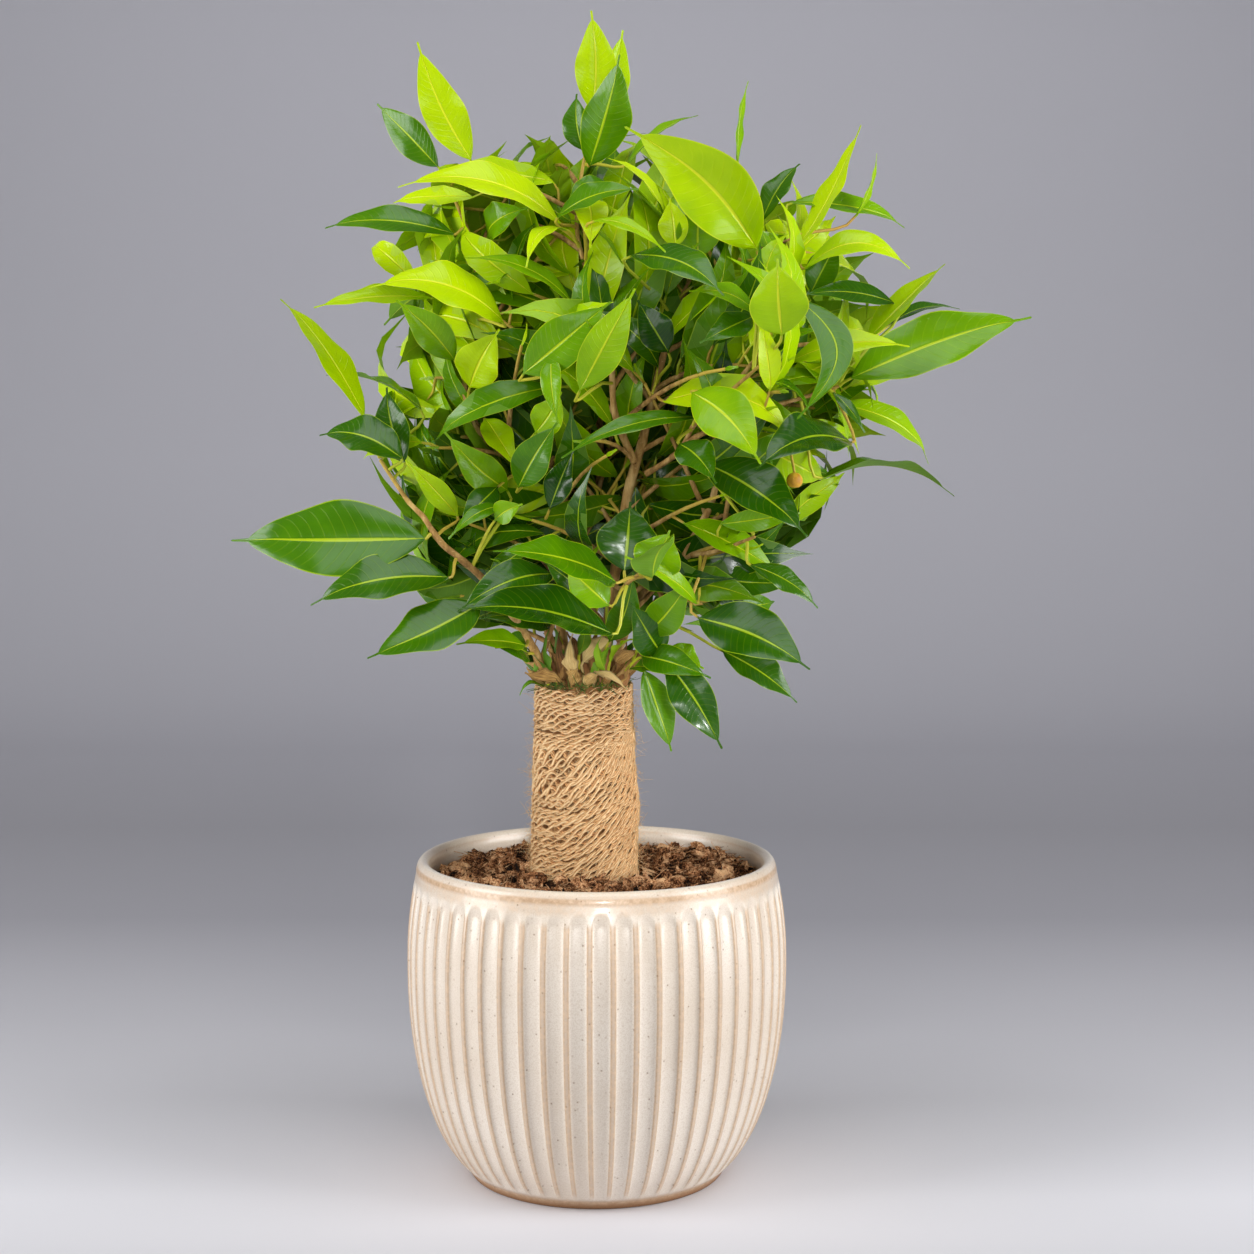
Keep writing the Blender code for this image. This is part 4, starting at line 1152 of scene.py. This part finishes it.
# Dry scales left round the stems' feet, then green sheaths and shoots among them: the foot from the middle of
# the trunk's top, the blade, width, and how pale it is. Lengths are in millimetres.
DRY = (
    ((0, -17, 13), (15, -5, 13), 15, 0.92), ((-3, -15, 3), (-2, -3, 25), 10, 0.84),
    ((-10, -13, 2), (-2, -4, 27), 11, 0.10), ((-13, -15, 2), (-4, -5, 18), 9, 0.28),
    ((17, -12, 11), (12, -4, 9), 10, 0.42), ((6, -19, 8), (17, -5, -8), 5, 0.85),
    ((-11, -17, 3), (-19, -6, 5), 12, 0.42), ((-6, -19, 1), (3, -6, 9), 9, 0.52), ((2, -19, 0), (6, -6, 8), 8, 0.66),
    ((12, -17, 0), (3, -7, 9), 7, 0.36), ((21, -10, 0), (2, -5, 11), 8, 0.42), ((-20, -9, 1), (-8, -4, 10), 9, 0.58),
    ((8, -12, 4), (4, -3, 22), 10, 0.26), ((14, -9, 4), (7, -3, 20), 10, 0.20), ((-7, -10, 5), (1, -4, 24), 9, 0.18),
    ((3, -9, 5), (3, -3, 26), 9, 0.30), ((-16, -8, 2), (-9, -2, 22), 10, 0.34), ((19, -4, 2), (11, 2, 20), 10, 0.30),
    ((-10, 12, 2), (-5, 6, 18), 12, 0.4), ((5, 16, 1), (3, 8, 16), 13, 0.65), ((16, 10, 1), (8, 5, 15), 12, 0.35),
    ((-18, 6, 1), (-9, 5, 12), 11, 0.5), ((0, 19, 0), (0, 9, 8), 11, 0.55), ((-21, -1, 1), (-10, 2, 10), 11, 0.6),
)
SHEATHS = (
    ((5, -16, 3), (8, -4, 18), 7, 0.60), ((14, -13, 13), (14, -6, 13), 7, 0.86),
    ((-26, -6, 6), (-3, -2, 17), 6, 0.48), ((-15, -14, 4), (-3, -4, 26), 7, 0.26),
    ((22, -11, 9), (22, -10, -3), 9, 0.46), ((-2, -17, 17), (3, -6, 15), 7, 0.44),
    ((11, -16, 8), (-3, -5, 20), 6, 0.68), ((20, -8, 4), (9, -5, 22), 7, 0.36),
    ((-20, -12, 6), (-11, -8, 15), 9, 0.20), ((-6, -8, 6), (-6, -2, 28), 8, 0.14), ((9, -6, 6), (6, 0, 28), 9, 0.16),
    ((-24, 2, 4), (-14, 4, 18), 10, 0.22), ((22, 4, 4), (14, 4, 20), 10, 0.24), ((2, 14, 4), (-4, 8, 24), 10, 0.20),
    ((-12, 16, 4), (-10, 8, 20), 10, 0.3),
)
# Stumps of cut shoots: place in the trunk's top and height, in millimetres.
STUMPS = (
    (-12, -8, 15), (-6, -11, 19), (1, -10, 16), (8, -9, 20), (14, -4, 14), (-15, 2, 13), (-5, -2, 22), (4, 0, 24),
    (-9, 9, 17), (2, 12, 15), (11, 7, 18), (-1, -15, 10), (17, -9, 9),
)


def blades(table, trunk_x, top, dice):
    """The blades of a table as leaves. They grow from the trunk's top and turn their upper sides in."""
    rows = []
    for at, blade, width, tone in table:
        foot = np.array((trunk_x, 0, top)) + np.array(at) * MM
        out = unit((at[0], at[1], 0))
        rows.append(dict(
            start=foot - out * 0.002 - np.array((0, 0, min(at[2] * MM, 0.008))), foot=foot,
            tip=foot + np.array(blade) * MM, up=-out * 0.9 + np.array((0, -0.3, 0.3)), width=width * MM,
            arch=dice.uniform(-0.3, 0.12), tone=tone, chance=dice.random(), droop=dice.uniform(-0.05, 0.15),
            sway=dice.uniform(-0.12, 0.12), twist=dice.uniform(-0.9, 0.9), fold=dice.uniform(0.2, 0.8),
            curl=dice.uniform(-0.3, 0.1), wave=dice.uniform(0.1, 0.35),
        ))
    return stack(rows)


def stump(x, y, high, trunk_x, top, dice):
    """A short cut shoot that leans out of the trunk's top. x, y and high are in millimetres."""
    t = np.linspace(0, 1, 7)[:, None]
    foot = np.array((trunk_x + x * MM, y * MM, top - 0.003))
    lean = np.array((x * 0.25, y * 0.2, high)) * MM
    line = foot + lean * t + dice.normal(size=3) * 0.0012 * t**2
    radii = np.linspace(0.0044, 0.0022, 7) * dice.uniform(0.8, 1.2)
    return tube(line, radii, 9, dice.normal(size=(7, 9)) * 0.00025)


def make_trunk_top(dry, moss, leaf, bark, trunk_x):
    """Dry scales, green sheaths and short stumps between the stems, a collar of moss inside the net's top, and
    one small curled green leaf."""
    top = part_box("trunk")[1].z
    dice = np.random.default_rng(9)
    shape, uv, fields = leaf_skins(blades(DRY, trunk_x, top, dice), FINE, 3, 12)
    piece("dry_scales", shape, dry, "leaf", (), uv, LEAF_CREASE, **fields)
    leaf_piece("green_sheaths", blades(SHEATHS, trunk_x, top, dice), leaf)
    piece("cut_stumps", joined([stump(*row, trunk_x, top, dice) for row in STUMPS]), bark, "bark", youth=0)

    count = 520
    a = dice.uniform(0, TURN, count)
    r = dice.uniform(0.0150, 0.0232, count)
    start = around(trunk_x, r, a, top - 0.001 + dice.uniform(-0.001, 0.001, count))
    shape = strands(start, 0.003, 0.008, 0.00030, dice, out=around(0, 0.5, a, 0.35))
    piece("moss_collar", shape, moss, "leaf", chance=strand_shades(dice, 0, count))

    foot = np.array((trunk_x - 0.021, -0.010, top - 0.001))
    curled = dict(
        start=foot + np.array((0.003, 0.001, 0)), foot=foot, tip=foot + np.array((-0.012, -0.004, -0.004)),
        up=np.array((0, -0.3, 1)), width=0.005, arch=0.35,
    )
    leaf_piece("curled_leaf", stack([with_habit(curled, 0.45, dice)]), leaf)


FIG_RADIUS = 0.0041  # of the ball, without the stalk


def fig_middle():
    """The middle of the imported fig's ball. Its stalk leans left and back from there, so the ball holds the box's
    right, front and lower sides."""
    low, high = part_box("fig_fruit")
    return np.array((high.x - FIG_RADIUS, low.y + FIG_RADIUS, low.z + FIG_RADIUS))


def make_fruit(finish, bark, stems):
    """The small fig: a slightly ribbed ball with a dimpled end, and the stalk that it hangs by."""
    middle, radius = fig_middle(), FIG_RADIUS
    v = np.radians(np.linspace(-80, 80, 17))[:, None]
    a = angles(28)
    dimple = 1 - 0.16 * np.exp(-(((v + 1.45) / 0.3) ** 2))
    r = radius * dimple * (1 + 0.012 * np.cos(7 * a) * np.cos(v))
    rings = middle + around(0, r * np.cos(v), a, r * np.sin(v))
    top = middle + np.array((0, 0, 1.02)) * radius
    end = middle - np.array((0, 0, 0.86)) * radius
    piece("ripe_fig", skins(rings[None], end[None], top[None]), finish, "fig_skin", ["fig_fruit"])
    line = through(stems["branch_far_right"][0], 6)
    near = line[np.linalg.norm(line - middle, axis=1).argmin()]
    path = through([near, (near + top) / 2 + (0.001, 0, 0.001), top - (0, 0, 0.0004)], 4)
    piece("fig_stalk", tube(path, 0.0007, 6), bark, "bark", youth=1)


# ---------------------------------------------------------------- foliage inside and behind the crown

# The crown's outline by height: the middle and the half width across and front to back.
CROWN_Z = (0.262, 0.278, 0.300, 0.340, 0.400, 0.450, 0.500, 0.525, 0.545)
CROWN_X = (0.000, 0.000, 0.002, 0.006, 0.016, 0.022, 0.016, 0.006, 0.006)
CROWN_WIDE = (0.030, 0.062, 0.090, 0.106, 0.130, 0.132, 0.120, 0.092, 0.044)
CROWN_DEEP = (0.030, 0.062, 0.096, 0.112, 0.124, 0.122, 0.102, 0.072, 0.036)
CROWN_Y = 0.012
# Two grids of small cells: an upright screen as seen from the front, and the space of the whole plant.
CELL = 0.004
SCREEN, SCREEN_LEFT = (140, 180), -0.26
SPACE = (110, 75, 160)
FAR = 9.0  # the depth of a screen cell that shows nothing yet
SHUT = 40  # the weight of a space cell that is taken by a piece modelled one by one


def out_of_crown(points):
    """How far out of the crown's middle points are: 1 is on its outline."""
    points = np.asarray(points, float)
    x, y, z = (points[..., i] for i in range(3))
    across = (x - np.interp(z, CROWN_Z, CROWN_X)) / np.interp(z, CROWN_Z, CROWN_WIDE)
    deep = (y - CROWN_Y) / np.interp(z, CROWN_Z, CROWN_DEEP)
    over = np.maximum(z - CROWN_Z[-1], CROWN_Z[0] - z) / 0.02
    return np.hypot(across, deep) + np.maximum(over, 0)


def leaf_samples(leaves, rows=8, columns=5):
    """Points spread over each blade, shape (leaves, points, 3)."""
    s = np.linspace(0.06, 0.92, rows)[None, :, None, None]
    a = np.linspace(-0.85, 0.85, columns)[None, None, :, None]
    foot, tip, up = (leaves[key][:, None, None] for key in ("foot", "tip", "up"))
    long = tip - foot
    length = np.linalg.norm(long, axis=-1, keepdims=True)
    up = unit(up - long * (up * long).sum(axis=-1, keepdims=True) / length**2)
    across = np.cross(up, long / length)
    arch, width, sway = (leaves[key][:, None, None, None] for key in ("arch", "width", "sway"))
    points = foot + long * s + up * 4 * s * (1 - s) * arch * length
    points = points + across * (a * blade_share(s) * width / 2 + sway * np.sin(np.pi * s) * length)
    return points.reshape(len(long), -1, 3)


def front_cells(points):
    """Which cell of the screen each point falls in, looking from the front."""
    shrink = -EYE[1] / (points[..., 1] - EYE[1])
    x = EYE[0] + (points[..., 0] - EYE[0]) * shrink
    z = EYE[2] + (points[..., 2] - EYE[2]) * shrink
    column, row = (x - SCREEN_LEFT) / CELL, z / CELL
    return np.clip(column, 0, SCREEN[0] - 1).astype(int), np.clip(row, 0, SCREEN[1] - 1).astype(int)


def cells(points):
    """Which cell of space each point falls in."""
    found = np.clip((points - cad_box[0]) / CELL, 0, np.array(SPACE) - 1).astype(int)
    return tuple(np.moveaxis(found, -1, 0))


def outwards(point):
    """The way out of the crown at a point."""
    x, y, z = point
    return unit(((x - 0.018) / 0.14**2, (y - CROWN_Y) / 0.12**2, (z - 0.40) / 0.22**2))


def foliage_leaf(at, ahead, spin, place, share, dice):
    """A leaf on a twig at that place along it, at that share of full size: its blade lies mostly along the
    crown's skin with its upper side out. It hangs low in the crown and stands up at the top."""
    out = outwards(at)
    square = unit(np.cross(ahead, (math.cos(spin), math.sin(spin), 0.3)))
    off = unit(square * 0.8 + ahead * 0.65 + np.array((0, 0, 0.1)))
    foot = at + off * dice.uniform(0.010, 0.020)
    lift = -0.60 + 1.10 * ease(0.32, 0.54, at[2])
    blade = off * 0.9 + ahead * 0.35 + np.array((0, 0, lift)) + dice.normal(size=3) * 0.36
    blade = unit(blade - out * (blade @ out) * 0.8 + out * 0.16)
    long = dice.uniform(0.066, 0.096) * (1 - 0.20 * place) * share
    up = unit(np.array((0, -0.05, 0.50)) + out * 0.9 + dice.normal(size=3) * 0.26)
    return dict(
        start=at, foot=foot, tip=foot + blade * long, up=up, width=long * dice.uniform(0.27, 0.37),
        arch=dice.uniform(0.05, 0.30), sway=dice.uniform(-0.10, 0.10), droop=dice.uniform(0.0, 0.09),
    )


# Stems that stay in sight from the front, between two shares of their length.
OPEN_STEMS = (
    ("stem_main", 0.30, 0.80), ("branch_mid", 0.1, 0.8), ("branch_crown", 0.05, 0.5), ("stem_right", 0.3, 0.7),
)
GOLDEN_ANGLE = 2.39996
TWIG_STEP = 0.0066  # from one twig to the next up a stem
TWIG_LENGTHS = (0.085, 0.07, 0.055, 0.04, 0.028)  # of which each twig takes the longest that stays inside
LEAF_SIZES = (1.0, 1.0, 1.0, 1.0, 0.82, 0.82, 0.82, 0.70, 0.70)  # each try's share of the full size
LEAVES_A_PIECE = 13


class Crown:
    """The room left for foliage: what the front view shows nearest in each cell, and the taken cells of space."""

    def __init__(self, shown, fig, open_stems):
        seen = leaf_samples(shown, 30, 13)
        self.nearest, self.taken = np.full(SCREEN, FAR), np.zeros(SPACE, np.int8)
        for points in (seen, fig, *open_stems):
            np.minimum.at(self.nearest, front_cells(points), points[..., 1])
        for shift in np.ndindex(3, 3, 3):
            self.taken[cells(seen + (np.array(shift) - 1) * 0.0025)] = SHUT
        self.taken[cells(fig)] = SHUT

    def hides(self, points):
        """How many of the points stand in front of what has to stay in sight."""
        before = self.nearest[front_cells(points)]
        return ((points[..., 1] < before - 0.002) & (before < FAR)).sum()

    def has_room_for_twig(self, twig):
        """Whether a twig is out of sight enough, and clear of the pieces modelled one by one."""
        return self.hides(through(twig, 3)) <= 2 and (self.taken[cells(through(twig[2:], 4))] < SHUT).all()

    def has_room_for_leaf(self, leaf, spread, edge):
        """Whether a leaf fits: spread are points over it, and edge is how far out of the crown's middle it may
        reach. One that would look like a stub from the front doesn't fit either."""
        if out_of_crown(spread).max() > edge or (spread < cad_box[0]).any() or (spread > cad_box[1]).any():
            return False
        stub = leaf["start"][1] < 0.01 and abs(unit(leaf["tip"] - leaf["foot"])[1]) > 0.66
        return not stub and self.hides(spread) < 2 and self.taken[cells(spread)].sum() < 5


def grow_twig(line, share, angle, crown, dice):
    """A twig's line from a stem, bending out and down, and its length, which is 0 where there is no room. It
    leaves at that share of the stem's length and that angle round it, or straight on at the stem's end."""
    start, way = at_share(line, share)
    if share < 1:
        side = np.array((math.cos(angle), math.sin(angle), 0))
        out = unit((start[0] - 0.015, start[1] - CROWN_Y, 0))
        way = unit(side * 0.9 + out * 0.55 + way * 0.4 + np.array((0, 0, 0.35)))
    reach = next((r for r in TWIG_LENGTHS if out_of_crown(start + way * r) < dice.uniform(0.6, 0.95)), 0)
    if not reach:
        return line, 0
    bend = unit(dice.normal(size=3)) * 0.16 + np.array((0, 0, -0.22))
    t = np.linspace(0, 1, 7)[:, None]
    twig = start + way * reach * t + bend * reach * t**2
    return twig, reach if crown.has_room_for_twig(twig) else 0


def grow_leaves(twig, reach, angle, crown, dice):
    """The leaves that find room along a twig, from its end down, each in the largest size that fits. If there are
    any, a bud follows at the twig's end."""
    leaves = []
    for m, place in enumerate(np.linspace(1.0, 0.26, max(4, int(reach / 0.0105)))):
        at, ahead = at_share(twig, place)
        edge = dice.uniform(0.90, 1.16)
        for size in LEAF_SIZES:
            leaf = foliage_leaf(at, ahead, m * 2.7 + angle, place, size, dice)
            spread = leaf_samples(stack([leaf]))[0]
            if crown.has_room_for_leaf(leaf, spread, edge):
                break
        else:
            continue
        crown.taken[cells(spread)] = 1
        # A leaf's tone rises with height and towards the crown's outside: younger leaves stand there. In part it is
        # painted shade, which darkens the lower and inner leaves.
        height = ease(0.28, 0.54, leaf["foot"][2])
        outer = ease(0.45, 1.0, out_of_crown(spread).mean())
        tone = 0.04 + 0.70 * height + 0.36 * outer + 0.14 * place + dice.normal() * 0.17
        leaves.append(with_habit(leaf, float(np.clip(tone, 0.05, 0.97)), dice))
    if leaves:
        at, ahead = at_share(twig, 1.0)
        bud = dict(
            start=at - ahead * 0.001, foot=at, tip=at + ahead * dice.uniform(0.008, 0.015), up=outwards(at),
            width=0.0022, arch=dice.uniform(-0.1, 0.1),
        )
        leaves.append(with_habit(bud, dice.uniform(0.6, 0.9), dice))
    return leaves


def grow_foliage(stems, shown, leaf, bark):
    """Twigs up every stem by the golden angle, with alternate leaves and a bud at the end. A leaf stays if it is
    inside the crown, is clear of the other leaves, and doesn't hide from the front the leaves that were there
    first."""
    dice = np.random.default_rng(21)
    fig = fig_middle() + unit(dice.normal(size=(300, 3))) * FIG_RADIUS * 1.3
    open_stems = [at_share(stems[name][0], np.linspace(low, high, 90))[0] for name, low, high in OPEN_STEMS]
    crown = Crown(shown, fig, open_stems)
    for number, name in enumerate(sorted(stems)):
        line = stems[name][0]
        length = np.linalg.norm(np.diff(line, axis=0), axis=1).sum()
        first = 0.08 if name.startswith("stem_") else 0.12
        leaves, twigs = [], []
        for k, share in enumerate(np.append(np.arange(first, 0.97, TWIG_STEP / length), 1.0)):
            angle = k * GOLDEN_ANGLE + number * 1.3
            twig, reach = grow_twig(line, share, angle, crown, dice)
            grown = grow_leaves(twig, reach, angle, crown, dice) if reach else []
            if grown:
                leaves += grown
                twigs.append(tube(twig, np.linspace(0.0015, 0.0008, 7), 5))
        if leaves:
            parts = np.array_split(np.arange(len(leaves)), max(1, round(len(leaves) / LEAVES_A_PIECE)))
            for part, few in enumerate(parts, 1):
                leaf_piece(f"foliage_{name}_{part}", stack([leaves[i] for i in few]), leaf, fine=False)
            youth = np.tile(np.append(np.repeat(np.linspace(0.2, 1.0, 7), 5), [0.2, 1.0]), len(twigs))
            piece(f"twigs_{name}", joined(twigs), bark, "bark", youth=youth)


# ---------------------------------------------------------------- camera, lights and floor


# Large soft lights: name, place, aim, width and height, and power.
SOFTBOXES = (
    ("left_light", (-1.4, -0.45, 0.65), (0, 0, 0.3), (0.8, 1.2), 19),
    ("right_light", (1.4, -0.45, 0.65), (0, 0, 0.3), (0.8, 1.2), 20),
    ("top_light", (0, -0.5, 1.6), (0, 0, 0.3), (1.2, 1.0), 9),
    ("front_light", (0.1, -2.0, 0.55), (0, 0, 0.22), (1.4, 0.7), 8),
)


def make_lamp(name, kind, place, aim, power):
    """A lamp at a place, turned towards its aim."""
    lamp = bpy.data.lights.new(name, kind)
    lamp.energy = power
    made = in_scene(name, lamp)
    x, y, z = np.subtract(aim, place)
    made.location = place
    made.rotation_euler = (math.atan2(math.hypot(x, y), -z), 0, math.atan2(x, -y) + math.pi)
    return lamp


def make_floor():
    """A pale floor that curves up behind. Its colour is painted shade: lighter near the front and darker half-way
    back.
    """
    floor = Finish("pale_floor", Roughness=0.9, Specular_IOR_Level=0.1)
    # Painted shade by depth: the colour dips half-way back and at the floor's front edge.
    floor.wear(floor.ramp(
        floor.axes(floor.where)[1] * 0.4 + 0.1, (0.0, (0.50, 0.495, 0.52)), (0.08, (0.76, 0.755, 0.80)),
        (0.22, (0.54, 0.535, 0.575)), (0.34, (0.42, 0.415, 0.455)), (0.50, (0.47, 0.465, 0.505)),
        (0.68, (0.67, 0.665, 0.72)), (1.0, (0.82, 0.815, 0.88)),
    ))
    a = np.linspace(0, math.pi / 2, 13)
    depth = np.concatenate([[-2.5, -0.5, 0.7], 1.5 + 1.0 * np.sin(a), [2.5]])
    rise = np.concatenate([[0, 0, 0], 1.0 - 1.0 * np.cos(a), [4.0]])
    points = np.stack(np.broadcast_arrays([[-5.0, 5.0]], depth[:, None], rise[:, None]), axis=-1)
    faces = 2 * np.arange(len(depth) - 1)[:, None] + np.array([0, 1, 3, 2])
    mesh = bpy.data.meshes.new("floor")
    mesh.from_pydata(points.reshape(-1, 3).tolist(), [], faces.tolist())
    mesh.shade_smooth()
    mesh.materials.append(floor.material)
    in_scene("floor", mesh)


def make_stage():
    """The camera, the floor, soft lights at either side, above and in front, and a narrow one on the trunk."""
    view = bpy.data.cameras.new("camera")
    view.lens, view.sensor_width = 63.8, 36.0
    view.clip_end = 50
    camera = in_scene("camera", view)
    camera.location = EYE
    camera.rotation_euler = (math.pi / 2 - 0.0918, 0, 0)
    scene = bpy.context.scene
    scene.camera = camera
    scene.view_settings.view_transform = "Standard"

    for name, place, aim, size, power in SOFTBOXES:
        box = make_lamp(name, "AREA", place, aim, power)
        box.shape, box.size, box.size_y = "RECTANGLE", *size
    spot = make_lamp("trunk_light", "SPOT", (0.15, -1.85, 0.58), (0, 0, 0.216), 78)
    spot.spot_size, spot.spot_blend, spot.shadow_soft_size = math.radians(6.6), 1.0, 0.07
    make_floor()

    scene.world = bpy.data.worlds.new("studio")
    scene.world.use_nodes = True
    air = scene.world.node_tree.nodes["Background"].inputs
    air["Color"].default_value, air["Strength"].default_value = (0.97, 0.97, 1.0, 1), 0.10


def main():
    """The whole plant."""
    make_stage()
    leaf = leaf_finish()
    bark = bark_finish("stem_bark", (0.16, 0.080, 0.022), (0.46, 0.255, 0.075), (0.80, 0.55, 0.23))
    stems = make_stems(bark)
    shown = make_leaves(leaf, stems)
    grow_foliage(stems, shown, leaf, bark)
    low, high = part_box("trunk")
    trunk_x = (low.x + high.x) / 2
    make_pot(glaze_finish())
    make_soil(soil_finish(), trunk_x)
    jute = jute_finish("jute_yarn", (0.310, 0.104, 0.028), (0.999, 0.518, 0.198), (0.999, 0.728, 0.410))
    fuzz = jute_finish("jute_fuzz", (0.900, 0.500, 0.200), (0.999, 0.680, 0.330), (0.999, 0.800, 0.480))
    old = bark_finish("old_bark", (0.11, 0.044, 0.014), (0.27, 0.115, 0.036), (0.46, 0.24, 0.085))
    make_wrap(jute, fuzz, old, trunk_x)
    make_trunk_top(dry_finish(), moss_finish(), leaf, old, trunk_x)
    make_fruit(fig_finish(), bark, stems)


main()
